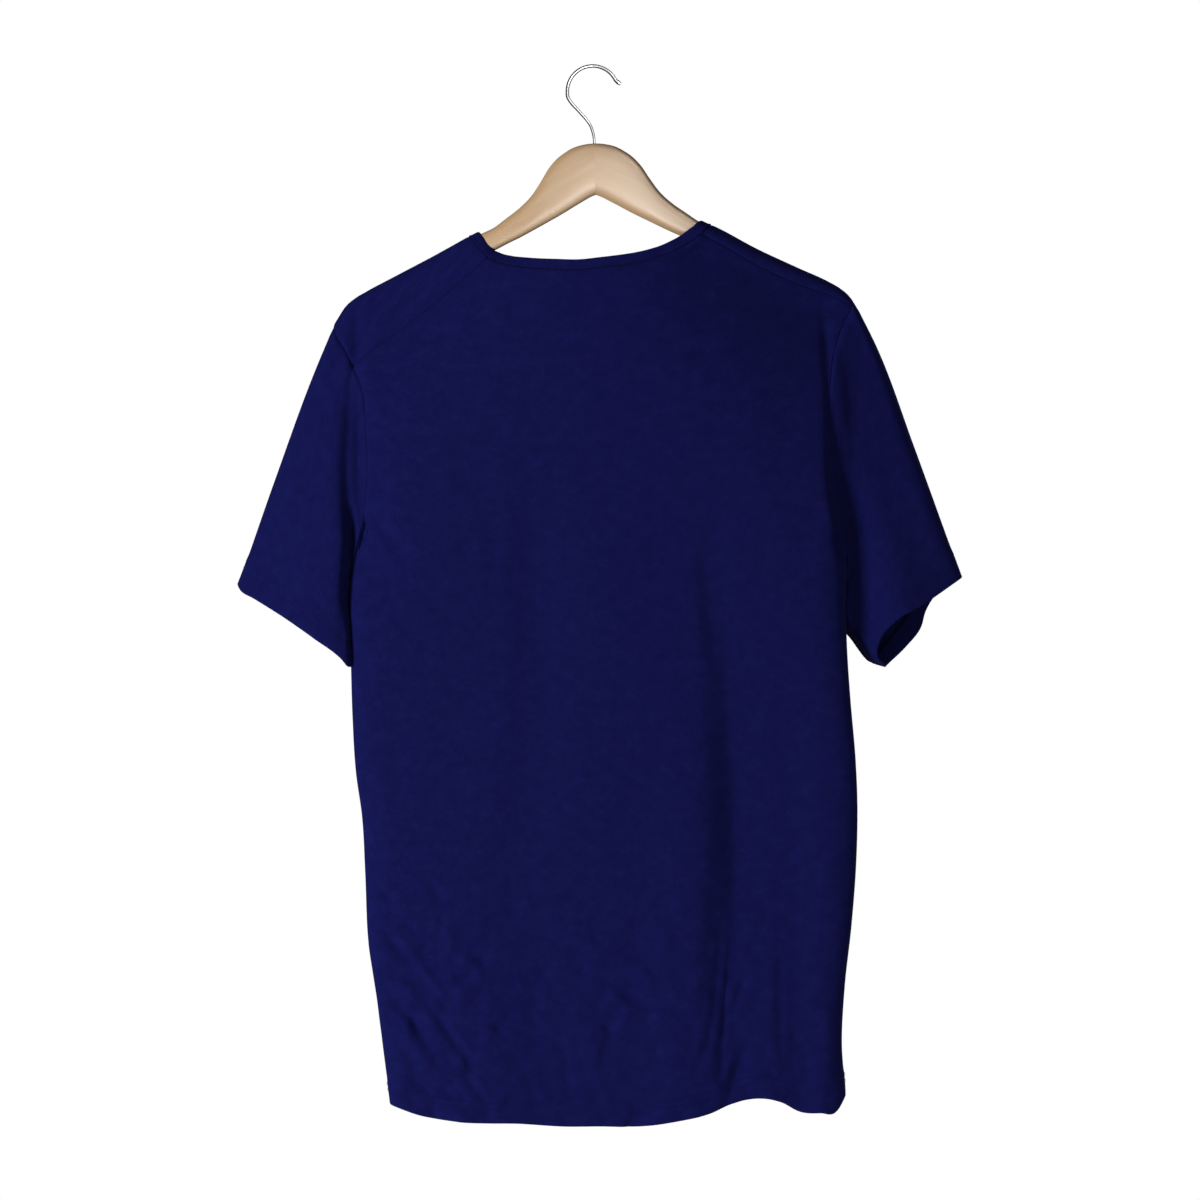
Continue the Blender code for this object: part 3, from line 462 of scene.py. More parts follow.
C = FoldShape.CREASE
FOLDS = (
    # Long falls of the back, right of its centre, with the swells beside them
    Fold(B, 20, path(106, -400, 0, 108, -480, 3, 109, -550, 8, 109, -591, 11.5, 110, -711, 13.5,
                     106, -800, 10, 105, -860, 7.5, 112, -942, 6), lip=0.0, right=4.0),
    Fold(B, 7, path(88, -390, 0, 89, -430, 1.4, 90, -466, 2.6, 92, -510, 2.6, 95, -560, 0),
         lip=0.0, right=2.5),
    Fold(B, 13, path(161, -520, 0.3, 160, -660, 1.6, 159, -780, 2.6, 158, -900, 3.2,
                     160, -942, 4), lip=0.0, right=1.3),
    Fold(B, 14, path(131, -780, 0, 130, -860, -0.8, 126, -942, -2)),
    Fold(B, 24, path(62, -560, -0.3, 60, -760, -2.0, 50, -942, -3.4)),
    Fold(B, 14, path(186, -620, -0.3, 184, -800, -1.2, 182, -942, -2)),
    Fold(B, 14, path(-62, -290, 0, -66, -420, 1.8, -72, -560, 2.0, -86, -660, 1.5,
                     -104, -740, 0), right=2.0),
    Fold(B, 32, path(-140, -690, -0.3, -130, -800, -2, -120, -942, -4)),
    Fold(B, 45, path(8, -300, -0.4, 5, -480, -1.6, 2, -700, -1.2, -6, -860, -0.3)),
    # Sharper lines inside them
    Fold(B, 5, path(90, -690, 0, 86, -750, 0.8, 82, -800, 1.3, 79, -840, 0), lip=0.0,
         right=1.6),
    Fold(B, 3.2, path(93, -765, 0, 89, -810, 1.7, 84, -850, 1.4, 79, -880, 0), C),
    Fold(B, 3.6, path(99, -790, 0, 95, -835, 2.2, 91, -875, 2.2, 88, -925, 0), C),
    Fold(B, 3.6, path(84, -850, 0, 77, -880, 1.8, 67, -902, 1.6, 60, -914, 0), C),
    Fold(B, 4, path(119, -812, 0, 112, -828, 2.0, 103, -846, 1.8, 92, -866, 0), C, lip=0.5),
    Fold(B, 5, path(120, -868, 0, 110, -892, 2.2, 98, -918, 2.2, 92, -942, 1), C, lip=0.4),
    Fold(B, 4, path(146, -700, 0, 145, -800, 1.0, 143, -880, 1.4, 143, -930, 0), C),
    Fold(B, 4, path(128, -880, 0, 134, -905, 1.2, 131, -925, 0), C),
    Fold(B, 5, path(196, -838, 0, 180, -846, 1.3, 163, -862, 0), C),
    Fold(B, 4, path(172, -880, 0, 166, -900, 1.2, 169, -922, 0), C),
    # Diagonal creases low at the left
    Fold(B, 4.2, path(-213, -765, 0, -200, -782, 2.3, -182, -808, 3.0, -165, -833, 2.5,
                      -152, -852, 0), C, lip=0.5),
    Fold(B, 3.8, path(-204, -788, 0, -186, -815, 2.1, -168, -842, 2.6, -148, -872, 2.1,
                      -130, -900, 0), C, lip=0.5),
    Fold(B, 4.5, path(-207, -822, 0, -190, -846, 2.0, -176, -868, 1.8, -160, -890, 0), C),
    Fold(B, 4.5, path(-219, -750, 0, -208, -742, 3.0, -192, -731, 2.4, -180, -728, 0), C,
         lip=0.5),
    Fold(B, 4, path(-218, -728, 0, -209, -734, 2.4, -200, -748, 0), C),
    Fold(B, 4.5, path(-168, -722, 0, -160, -740, 2.4, -152, -750, 0), C),
    Fold(B, 4.5, path(-160, -752, 0, -156, -764, 2.4, -164, -780, 0), C),
    Fold(B, 4, path(-176, -760, 0, -170, -776, 1.8, -174, -792, 0), C),
    Fold(B, 6, path(-197, -872, 0, -189, -890, 3.4, -181, -908, 0), C, lip=0.5),
    Fold(B, 4, path(-146, -896, 0, -134, -910, 3.0, -121, -926, 0), C, lip=0.5),
    Fold(B, 4, path(-172, -902, 0, -160, -914, 2.0, -146, -922, 0), C, lip=0.4),
    Fold(B, 4, path(-137, -796, 0, -125, -786, 1.8, -110, -776, 0), C),
    Fold(B, 4.5, path(-150, -826, 0, -134, -810, 1.8, -114, -792, 0), C),
    Fold(B, 4, path(-118, -842, 0, -112, -858, 1.6, -100, -868, 0), C),
    Fold(B, 5, path(-160, -836, 0, -150, -842, 2.4, -142, -838, 0), C),
    Fold(B, 16, path(-196, -860, 0, -170, -880, -2.4, -135, -896, 0)),
    Fold(B, 12, path(-196, -802, 0, -180, -826, -2.0, -158, -852, 0)),
    Fold(B, 5, path(-40, -800, 0, -32, -808, 1.4, -26, -822, 0), C),
    Fold(B, 5, path(-98, -880, 0, -93, -890, 1.4, -92, -900, 0), C),
    Fold(B, 5, path(-26, -882, 0, -12, -864, 1.8, 4, -850, 0), C),
    Fold(B, 6, path(20, -905, 0, 32, -880, 1.6, 36, -850, 0), C),
    Fold(B, 5, path(-62, -868, 0, -52, -884, 1.2, -50, -900, 0), C),
    # The cloth pulled at the armpits, and the shoulder blades
    Fold(B, 6, path(-209, -396, 0, -198, -412, 4.4, -184, -430, 3.2, -170, -444, 1.2, -150,
                    -456, 0), C),
    Fold(B, 12, path(-196, -560, 0, -192, -620, 1.0, -196, -680, 0)),
    Fold(B, 9, path(190, -400, 0, 182, -425, 1.2, 168, -446, 0)),
    Fold(B, 16, path(-170, -300, 0, -172, -360, 1.0, -160, -420, 0)),
    Fold(B, 22, path(150, -262, 0, 172, -330, 1.6, 178, -420, 0.6, 176, -480, 0)),
    # Dent under the back neck at its left end, and the pull at its right end
    Fold(B, 15, path(-112, -132, 0, -98, -140, 8, -86, -152, 11, -74, -161, 8, -56, -168, 3,
                     -35, -171, 0), lip=0.0),
    Fold(B, 9, path(62, -196, 0, 84, -185, 1.2, 108, -172, 0)),
    # Left sleeve, folded in beside the body
    Fold(B, 3, path(-219, -208, 0, -220.5, -228, 4, -222.3, -248, 5, -225, -268, 4, -228, -290, 0),
         lip=0.0, right=3.0),
    Fold(B, 8, path(-224, -272, 0, -226, -290, 6, -226.7, -311, 10, -229, -345, 11,
                    -229.5, -365, 11.5, -228, -395, 13, -225.5, -417, 13.5, -226, -440, 10,
                    -229, -462, 5, -233, -485, 0), lip=0.0, right=4.0),
    Fold(B, 5, path(-228, -385, 0, -228, -405, 6, -228.5, -420, 10, -231, -440, 11,
                    -234, -458, 7, -236, -480, 3, -239, -510, 1, -242, -535, 0), lip=0.0,
         right=0.7),
    Fold(B, 4.5, path(-218, -285, 0, -219.5, -311, 3.2, -220.5, -365, 3.4, -220, -395, 2.0,
                      -220, -410, 0), lip=0.0, right=1.6),
    Fold(B, 30, path(-262, -330, 0, -268, -420, -2.0, -276, -470, 0)),
    # Right sleeve: a deep recess behind the body's edge
    Fold(B, 4, path(201, -215, 0, 202.5, -235, 2.5, 203, -252, 4, 204, -285, 4, 205, -324, 4,
                    207, -350, 2, 209, -380, 0), lip=0.0, right=1.5),
    Fold(B, 7, path(207, -300, 0, 207, -324, 4, 209, -378, 15, 212, -400, 18, 216, -423, 20,
                    219, -445, 20, 221, -470, 20, 222, -511, 18, 230, -545, 6), lip=0.0,
         right=3.4),
    Fold(B, 30, path(230, -330, 0, 236, -400, 4, 240, -450, 6, 244, -500, 6, 248, -545, 4),
         lip=0.0),
    Fold(B, 20, path(234, -248, -1, 256, -312, -5, 277, -372, -7, 294, -420, -7, 306, -452, -5),
         lip=0.0),
    Fold(B, 7, path(224, -255, 0, 225, -300, 2.5, 226, -330, 3, 228, -370, 0), lip=0.0,
         right=2.0),
    Fold(B, 11, path(213, -222, 0, 222, -240, -1.6, 234, -262, 0)),
    # The front, which the photo doesn't show: falls and creases of the same kind
    Fold(F, 20, path(-70, -380, 1, -78, -600, 5, -84, -800, 9, -88, -942, 10)),
    Fold(F, 17, path(-140, -560, 1, -142, -740, 5, -146, -942, 8)),
    Fold(F, 14, path(-113, -600, -0.5, -114, -780, -3.5, -116, -942, -5)),
    Fold(F, 24, path(42, -340, 1, 50, -620, 5, 60, -942, 9)),
    Fold(F, 18, path(128, -480, 1, 129, -720, 5.5, 130, -942, 9)),
    Fold(F, 15, path(95, -560, -0.5, 95, -760, -3.5, 96, -942, -5)),
    Fold(F, 28, path(-20, -500, -0.5, -15, -740, -3.5, -12, -942, -5)),
    Fold(F, 34, path(0, -260, 0, -4, -320, -2.4, -4, -400, 0)),
    Fold(F, 6, path(-72, -560, 0, -80, -660, 1.3, -82, -760, 1.5, -84, -840, 0), C),
    Fold(F, 6, path(124, -640, 0, 130, -740, 1.4, 129, -860, 0), C),
    Fold(F, 8, path(-204, -792, 0, -182, -820, 2.6, -160, -850, 1.8, -144, -872, 0), C),
    Fold(F, 6, path(172, -820, 0, 154, -845, 2.0, 132, -872, 1.2, 118, -890, 0), C),
    Fold(F, 8, path(-168, -890, 0, -150, -905, 2.0, -128, -914, 0), C),
    Fold(F, 7, path(18, -862, 0, 34, -884, 1.8, 46, -908, 0), C),
    Fold(F, 10, path(-206, -402, 0, -188, -426, 2.4, -160, -448, 0)),
    Fold(F, 10, path(192, -402, 0, 176, -428, 2.4, 148, -450, 0)),
    Fold(F, 7, path(-224, -300, 0, -229, -380, 5, -234, -470, 8, -237, -530, 5), C),
    Fold(F, 8, path(210, -300, 0, 212, -380, 5, 220, -470, 8, 226, -520, 4), C),
    Fold(F, 14, path(-240, -300, 0, -246, -400, 1.8, -254, -470, 0)),
    Fold(F, 14, path(236, -300, 0, 240, -400, 1.8, 250, -470, 0)),
    Fold(F, 16, path(-86, -200, 0, -110, -250, 2.2, -140, -300, 1.2, -168, -350, 0)),
    Fold(F, 16, path(78, -196, 0, 100, -250, 2.0, 128, -300, 1.2, 160, -360, 0)),
    Fold(F, 12, path(-60, -236, 0, -40, -262, 1.6, -10, -275, 0)),
)


# ---------------------------------------------------------------- the shirt's form

@dataclass
class ShirtForm:
    """The shirt as one surface in cloth coordinates.

    Girth runs across a layer from its left side seam to its right one. Fall is the length down
    the cloth from the shoulder ridge, less than 0 on the back and more than 0 on the front.
    """

    half_girth: float = 500.0
    back_depth: float = 40.0
    front_depth: float = 52.0
    half_width: float = 225.0
    rounding: float = 7.0
    ridge_radius: float = 11.0
    swell_length: float = 90.0
    arm_forward: float = 30.0
    arm_reach: float = 260.0
    low_middle: float = 8.0
    settle: float = 260.0
    armpit_z: float = -450.0
    hem_level: float = -930.0
    flat_fall: float = 80.0
    fold_room: float = 6.0
    least_depth: float = 0.15
    samples: int = 600
    rounds: int = 8
    ridge: tuple[Ridge, ...] = (
        Ridge(-333, -455), Ridge(-313, -405), Ridge(-296, -357.5), Ridge(-278, -310.5),
        Ridge(-258.7, -264.6), Ridge(-243.6, -231.3), Ridge(-236.8, -218.2),
        Ridge(-229.6, -207.6), Ridge(-220.4, -200), Ridge(-210.8, -194.7), Ridge(-183, -181.2),
        Ridge(-146, -163.5), Ridge(-105.7, -143.2), Ridge(-94, -137.5), Ridge(-50, -121),
        Ridge(0, -113), Ridge(50, -121), Ridge(93, -140), Ridge(104.7, -145),
        Ridge(144.3, -166.8), Ridge(181, -184.7), Ridge(209, -198.2), Ridge(218.3, -203.9),
        Ridge(227, -211.9), Ridge(235.7, -226.4), Ridge(248.7, -254.6), Ridge(265.8, -300.6),
        Ridge(281.3, -349.1), Ridge(296.8, -396.3), Ridge(308.4, -431.8), Ridge(320, -468),
    )
    edges: tuple[SideEdge, ...] = (
        SideEdge(-960, -207, 199), SideEdge(-928, -208.5, 200), SideEdge(-888, -212.5, 198.3),
        SideEdge(-833, -217.8, 202.5), SideEdge(-780, -224, 210), SideEdge(-720, -225, 216.3),
        SideEdge(-666, -226.5, 218.8), SideEdge(-630, -230.5, 218.3),
        SideEdge(-576, -232.3, 215.3), SideEdge(-527, -232.3, 213.6), SideEdge(-490, -232.3, 214),
        SideEdge(-450, -232.5, 216.8), SideEdge(-400, -245, 231), SideEdge(-350, -265, 252),
        SideEdge(-300, -283, 272), SideEdge(-230, -300, 290), SideEdge(-60, -310, 300),
    )
    hem: tuple[Hem, ...] = (
        Hem(-207, -926, -926), Hem(-183, -935, -930), Hem(-147, -942, -935), Hem(-93, -945, -939),
        Hem(-57, -948.5, -936), Hem(-21, -949.5, -934), Hem(15, -950.5, -938),
        Hem(51, -946.5, -942), Hem(78, -941, -941), Hem(97, -933.5, -936), Hem(115, -929.5, -931),
        Hem(142, -933, -930), Hem(159, -942.5, -934), Hem(177, -944, -936), Hem(193, -942, -935),
        Hem(199, -932, -932),
    )
    folds: FoldField = field(default_factory=lambda: FoldField(FOLDS))

    def __post_init__(self) -> None:
        """Works out the body's rounded section once."""
        angle = np.linspace(0, math.pi, self.samples + 1)
        power = 2 / self.rounding
        self.across = -signed_power(np.cos(angle), power)
        self.out = np.abs(np.sin(angle)) ** power
        mean_depth = (self.back_depth + self.front_depth) / 2
        steps = np.hypot(np.diff(self.across) * self.half_width, np.diff(self.out) * mean_depth)
        share = np.concatenate([[0], np.cumsum(steps)])
        self.share = share / share[-1]

    def ridge_z(self, x: Array) -> Array:
        """Height of the top outline."""
        return smooth_curve(column(self.ridge, "x"), column(self.ridge, "z"), x)

    def side_edges(self, z: Array) -> tuple[Array, Array]:
        """Left and right edge of the body at a height."""
        zs = column(self.edges, "z")
        return (smooth_curve(zs, column(self.edges, "left"), z),
                smooth_curve(zs, column(self.edges, "right"), z))

    def hem_z(self, side: Side, x: Array) -> Array:
        """Height of a layer's hem."""
        name = "back" if side == Side.BACK else "front"
        return smooth_curve(column(self.hem, "x"), column(self.hem, name), x)

    def fall_at(self, drop: Array) -> Array:
        """Length of fall that ends a given drop below the ridge.

        Args:
            drop: Drops below the ridge.

        Returns:
            Lengths down the cloth, over its round top and then straight.
        """
        r = self.ridge_radius
        bent = r * np.arccos(1 - np.clip(drop, 0, r) / r)
        return np.where(drop < r, bent, r * math.pi / 2 + drop - r)

    def drop_and_depth(self, side: Array, fall: Array) -> tuple[Array, Array]:
        """How far down and how far out the cloth is after a length of fall over the arm.

        Args:
            side: Layer of each place.
            fall: Length of fall, never less than 0.

        Returns:
            Drops below the ridge, and depths of the layer.
        """
        r = self.ridge_radius
        bend = np.clip(fall / r, 0, math.pi / 2)
        past = np.maximum(fall - r * math.pi / 2, 0.0)
        full = np.where(side < 0, self.back_depth, self.front_depth)
        swell = past * past / (past * past + self.swell_length ** 2)
        return r * (1 - np.cos(bend)) + past, r * np.sin(bend) + (full - r) * swell

    def across_at(self, girth: Array, z: Array) -> Array:
        """Place across the body of a share of the girth.

        Args:
            girth: Girth coordinates.
            z: Heights.

        Returns:
            Places across.
        """
        left, right = self.side_edges(z)
        place = np.interp(girth / self.half_girth, self.share, self.across)
        return (left + right) / 2 + (right - left) / 2 * place

    def coordinates(self, side: Array, x: Array, z: Array) -> tuple[Array, Array]:
        """Girth and signed fall of places of a layer.

        Args:
            side: Layer of each place.
            x: Places across.
            z: Heights.

        Returns:
            Girth coordinates and fall coordinates.
        """
        left, right = self.side_edges(z)
        place = (x - (left + right) / 2) / ((right - left) / 2)
        girth = self.half_girth * np.interp(place, self.across, self.share)
        return girth, side * self.fall_at(self.ridge_z(x) - z)

    def form(self, side: Array, girth: Array, fall: Array) -> Array:
        """Place across, height and stand-off of the plain cloth.

        Args:
            side: Layer of each place.
            girth: Girth coordinates.
            fall: Fall coordinates.

        Returns:
            An array whose last axis holds x, z and depth.
        """
        drop, depth = self.drop_and_depth(side, np.abs(fall))
        z = np.full_like(girth, self.armpit_z)
        for _ in range(self.rounds):
            x = self.across_at(girth, z)
            z = self.ridge_z(x) - drop
        out = np.interp(girth / self.half_girth, self.share, self.out)
        depth = depth * lerp(1.0, out, ease(np.abs(fall) / self.flat_fall))
        return np.stack([x, z, depth], axis=-1)

    def forward(self, x: Array) -> Array:
        """Contour of the hanger seen from above: its arms reach forward."""
        turn = np.pi * np.minimum(np.abs(x), self.arm_reach) / self.arm_reach
        return self.arm_forward * (1 - np.cos(turn)) / 2

    def surface(self, side: Array, form: Array) -> Array:
        """Points of the cloth's middle surface, folds included.

        Args:
            side: Layer of each place.
            form: Its x, z and depth.

        Returns:
            Points in millimetres.
        """
        x, z, depth = form[..., 0], form[..., 1], form[..., 2]
        settled = ease((self.ridge_z(x) - z) / self.settle)
        middle = lerp(self.forward(x), self.low_middle, settled)
        room = np.maximum(depth, 0) / (np.maximum(depth, 0) + self.fold_room)
        out = np.maximum(depth - self.folds.depth(side, x, z) * room, self.least_depth * depth)
        return np.stack([x, middle + side * out, z], axis=-1)


# ---------------------------------------------------------------- how the cloth is cut

class Grid(NamedTuple):
    """A sewn piece as a grid of places of the cloth."""

    side: Array
    form: Array
    knit: Array


@dataclass
class ShirtPattern:
    """Cuts the shirt's surface into its pieces along its seams."""

    form: ShirtForm
    spacing: float = 3.0
    sleeve_spacing: float = 3.0
    margins: tuple[float, ...] = (1.1, 2.3, 3.8)
    shoulder_length: float = 146.0
    neck_share: float = 0.29
    upper_length: float = 236.0
    lower_length: float = 482.0
    tab_fall: float = 24.0
    tab_steps: int = 12
    band_width: float = 9.0
    sleeve_depth: float = 34.0
    right_back_depth: float = 24.0
    sleeve_length: float = 236.0
    armpit_spread: float = 0.6
    spread_length: float = 70.0
    tuck: float = 24.0
    tuck_top: float = -450.0
    tuck_rise: float = 30.0
    tuck_width: float = 5.2
    cover: float = 3.5
    armhole_left: tuple[Seam, ...] = (
        Seam(B, -232.5, -450), Seam(B, -226, -432), Seam(B, -217, -397), Seam(B, -213, -356),
        Seam(B, -213, -320), Seam(B, -216, -282), Seam(B, -223, -263), Seam(B, -231, -246),
        Seam(B, -238, -234), Seam(F, -234, -256), Seam(F, -223, -292), Seam(F, -214, -330),
        Seam(F, -212, -370), Seam(F, -219.5, -413), Seam(F, -232.5, -450),
    )
    armhole_right: tuple[Seam, ...] = (
        Seam(B, 216.8, -450), Seam(B, 212, -432), Seam(B, 205, -396), Seam(B, 203.5, -342),
        Seam(B, 205.5, -297), Seam(B, 211, -261), Seam(B, 219, -239), Seam(B, 226.5, -225.5),
        Seam(F, 226, -245), Seam(F, 215, -285), Seam(F, 204, -330), Seam(F, 200, -370),
        Seam(F, 204, -415), Seam(F, 216.8, -450),
    )
    shoulder: tuple[Shoulder, ...] = (
        Shoulder(0.0, 60, 9), Shoulder(0.33, 53, 15), Shoulder(0.66, 43, 15.3),
        Shoulder(1.0, 29, 13),
    )
    neck_back: tuple[Seam, ...] = (
        Seam(B, -98.5, -168), Seam(B, -86, -173.5), Seam(B, -68, -177.5), Seam(B, -43, -180.5),
        Seam(B, -13, -182), Seam(B, 5, -180.5), Seam(B, 33, -177.5), Seam(B, 54, -173),
        Seam(B, 74, -165), Seam(B, 94, -152),
    )
    neck_left: tuple[Seam, ...] = (
        Seam(B, -98.5, -168), Seam(B, -107, -158), Seam(B, -112.5, -150.8),
        Seam(F, -109, -162), Seam(F, -103, -166),
    )
    neck_right: tuple[Seam, ...] = (
        Seam(B, 94, -152), Seam(B, 101.5, -144.9), Seam(F, 98, -156), Seam(F, 93, -161),
    )
    neck_front: tuple[Seam, ...] = (
        Seam(F, -103, -166), Seam(F, -97, -182), Seam(F, -84, -204), Seam(F, -60, -225),
        Seam(F, -30, -236), Seam(F, -5, -239), Seam(F, 22, -235), Seam(F, 52, -223),
        Seam(F, 75, -202), Seam(F, 88, -179), Seam(F, 93, -161),
    )
    sleeve_left: dict[str, tuple[Spot, ...]] = field(default_factory=lambda: {
        "top": (Spot(-243.6, -231.3), Spot(-258.7, -264.6), Spot(-296, -357.5),
                Spot(-333, -455)),
        "under": (Spot(-232.5, -450), Spot(-230, -470), Spot(-227, -500), Spot(-226, -536)),
        "back": (Spot(-226, -536), Spot(-234.5, -531), Spot(-240, -524.5), Spot(-264.5, -505),
                 Spot(-290, -486.3), Spot(-317.8, -468), Spot(-330.2, -460), Spot(-333, -455)),
        "front": (Spot(-226, -536), Spot(-236, -528), Spot(-264, -502), Spot(-290, -483),
                  Spot(-317, -465), Spot(-333, -455)),
    })
    sleeve_right: dict[str, tuple[Spot, ...]] = field(default_factory=lambda: {
        "top": (Spot(235, -225), Spot(248.7, -254.6), Spot(281.3, -349.1), Spot(308.4, -431.8),
                Spot(320, -468)),
        "under": (Spot(216.8, -450), Spot(211.5, -470), Spot(207.5, -492), Spot(210.5, -509),
                  Spot(220, -522), Spot(235, -542), Spot(249, -547)),
        "back": (Spot(249, -547), Spot(241, -540), Spot(243, -523), Spot(260, -504),
                 Spot(281, -492.5), Spot(320, -468)),
        "front": (Spot(249, -547), Spot(269, -529), Spot(283, -512.5), Spot(288, -498),
                  Spot(299, -482), Spot(320, -468)),
    })

    def __post_init__(self) -> None:
        """Sets out the columns and rows that neighbouring pieces share."""
        shoulder = shares(self.shoulder_length, self.spacing, self.margins, both=True)
        self.shoulder_shares = shoulder
        neck_length = self.form.half_girth * (1 - 2 * self.neck_share)
        neck = shares(neck_length, self.spacing)
        left = shoulder * self.neck_share
        middle = self.neck_share + neck * (1 - 2 * self.neck_share)
        self.columns = np.concatenate([left, middle[1:-1], 1 - left[::-1]])
        self.neck_columns = (len(left) - 1, len(left) + len(middle) - 2)
        self.upper = shares(self.upper_length, self.spacing, self.margins)
        self.lower = shares(self.lower_length, self.spacing)
        self.armholes = [self.seam_curve(rows) for rows in (self.armhole_left,
                                                            self.armhole_right)]
        self.neck_sides = [self.seam_curve(rows) for rows in (self.neck_left, self.neck_right)]

    def traced(self, rows: Sequence[Seam]) -> Array:
        """Girth and fall of a seam's points."""
        side, x, z = column(rows, "side"), column(rows, "x"), column(rows, "z")
        return np.stack(self.form.coordinates(side, x, z), axis=1)

    def seam_curve(self, rows: Sequence[Seam]) -> Callable[[Array], Array]:
        """A seam that runs over the ridge, as girth over fall.

        Args:
            rows: The seam's points.

        Returns:
            A function that gives the seam's girth for each fall.
        """
        points = self.traced(rows)
        points = points[np.argsort(points[:, 1])]
        return lambda fall: smooth_curve(points[:, 1], points[:, 0], fall)

    def level(self, side: Side, level: float, height: Callable[[Array], Array]) -> Array:
        """Cloth coordinates of a line whose height varies about a level.

        Args:
            side: Layer of the line.
            level: Height that it varies about.
            height: Gives its height for each place across.

        Returns:
            Girth and fall at each column.
        """
        girth = self.columns * self.form.half_girth
        x = self.form.across_at(girth, np.full_like(girth, level))
        return np.stack([girth, side * self.form.fall_at(self.form.ridge_z(x) - height(x))],
                        axis=1)

    def tab(self, hand: int) -> Array:
        """Part of the front that wraps a shoulder, rows from the back seam to the front.

        Args:
            hand: 0 for the left shoulder, 1 for the right one.

        Returns:
            Girth and fall of each row and column.
        """
        drops = column(self.shoulder, "left" if hand == 0 else "right")
        seam = self.form.fall_at(smooth_curve(column(self.shoulder, "share"), drops,
                                              self.shoulder_shares))
        behind = 1 - np.linspace(0, 1, self.tab_steps + 1)
        ahead = np.linspace(0, self.tab_fall, self.tab_steps + 1)[1:]
        fall = np.concatenate([-behind[:, None] * seam, ahead[:, None] + 0 * seam])
        girth_arm = self.armholes[hand](fall[:, 0])
        girth_neck = self.neck_sides[hand](fall[:, -1])
        girth = lerp(girth_arm[:, None], girth_neck[:, None], self.shoulder_shares)
        rows = np.stack([girth, fall], axis=-1)
        return rows if hand == 0 else rows[:, ::-1]

    def panel(self, side: Side, top: Array) -> Array:
        """Cloth coordinates of a panel below its top edge.

        Args:
            side: The panel's layer.
            top: Its top edge, girth and fall at each column.

        Returns:
            Girth and fall of each row and column, from the top to the hem.
        """
        form = self.form
        armpit = self.level(side, form.armpit_z, lambda x: np.full_like(x, form.armpit_z))
        hem = self.level(side, form.hem_level, lambda x: form.hem_z(side, x))
        rims = []
        for hand, end in enumerate(ENDS):
            fall = lerp(top[end, 1], armpit[end, 1], self.upper)
            rim = np.stack([self.armholes[hand](fall), fall], axis=1)
            rim[0], rim[-1] = top[end], armpit[end]
            rims.append(rim)
        upper = coons(top, armpit, rims[0], rims[1], self.columns, self.upper)
        lower = lerp(armpit[None], hem[None], self.lower[1:, None, None])
        return np.concatenate([upper, lower])

    def neck_row(self, rows: Sequence[Seam], left: Array, right: Array) -> Array:
        """Cloth coordinates of the neck seam between the shoulders.

        Args:
            rows: The seam's points.
            left: Coordinates of its left end.
            right: Coordinates of its right end.

        Returns:
            Girth and fall at each column between the ends.
        """
        first, last = self.neck_columns
        stations = np.linspace(0, 1, last - first + 1)
        line = smooth_path(self.traced(rows), stations)
        line[0], line[-1] = left, right
        return line[1:-1]

    def back(self) -> Grid:
        """The back panel.

        Returns:
            Its grid, rows from the shoulder and neck seams to the hem.
        """
        left, right = self.tab(0)[0], self.tab(1)[0]
        neck = self.neck_row(self.neck_back, left[-1], right[0])
        coordinates = self.panel(Side.BACK, np.concatenate([left, neck, right]))
        return self.placed(coordinates, np.full(coordinates.shape[:2], -1.0), Side.BACK)

    def front(self) -> Grid:
        """The front panel, with its shoulder tabs; the neck's cells are cut out later.

        Returns:
            Its grid, rows from the seams on the back over the ridge to the hem.
        """
        left, right = self.tab(0), self.tab(1)
        neck = self.neck_row(self.neck_front, left[-1, -1], right[-1, 0])
        first, last = self.neck_columns
        gap = np.linspace(0, 1, last - first + 1)[1:-1, None]
        filler = lerp(left[:-1, -1:], right[:-1, :1], gap[None])
        shoulders = np.concatenate([left[:-1], filler, right[:-1]], axis=1)
        top = np.concatenate([left[-1], neck, right[-1]])
        coordinates = np.concatenate([shoulders, self.panel(Side.FRONT, top)])
        side = np.where(coordinates[..., 1] < 0, -1.0, 1.0)
        return self.placed(coordinates, side, Side.FRONT)

    def placed(self, coordinates: Array, side: Array, layer: Side) -> Grid:
        """Grid of a panel from its cloth coordinates; its courses lie level on its layer.

        Args:
            coordinates: Girth and fall of each row and column.
            side: Layer of each of them.
            layer: Layer that most of the panel is on.

        Returns:
            The grid.
        """
        girth, fall = coordinates[..., 0], coordinates[..., 1]
        form = self.form.form(side, girth, fall)
        knit = np.stack([girth, self.form.ridge_z(form[..., 0]) - layer * fall], axis=-1)
        return Grid(side, form, knit)

    def armhole_ring(self, back: Grid, front: Grid, end: int) -> Grid:
        """Ring of an armhole, from the armpit up the back, over the ridge, down the front.

        Args:
            back: The back panel.
            front: The front panel.
            end: Column of the armhole: the first or the last.

        Returns:
            The ring's places.
        """
        rising = slice(len(self.upper) - 1, 0, -1)
        falling = slice(0, 2 * self.tab_steps + len(self.upper) - 1)
        return Grid(*(np.concatenate([one[rising, end], two[falling, end]])
                      for one, two in zip(back, front)))

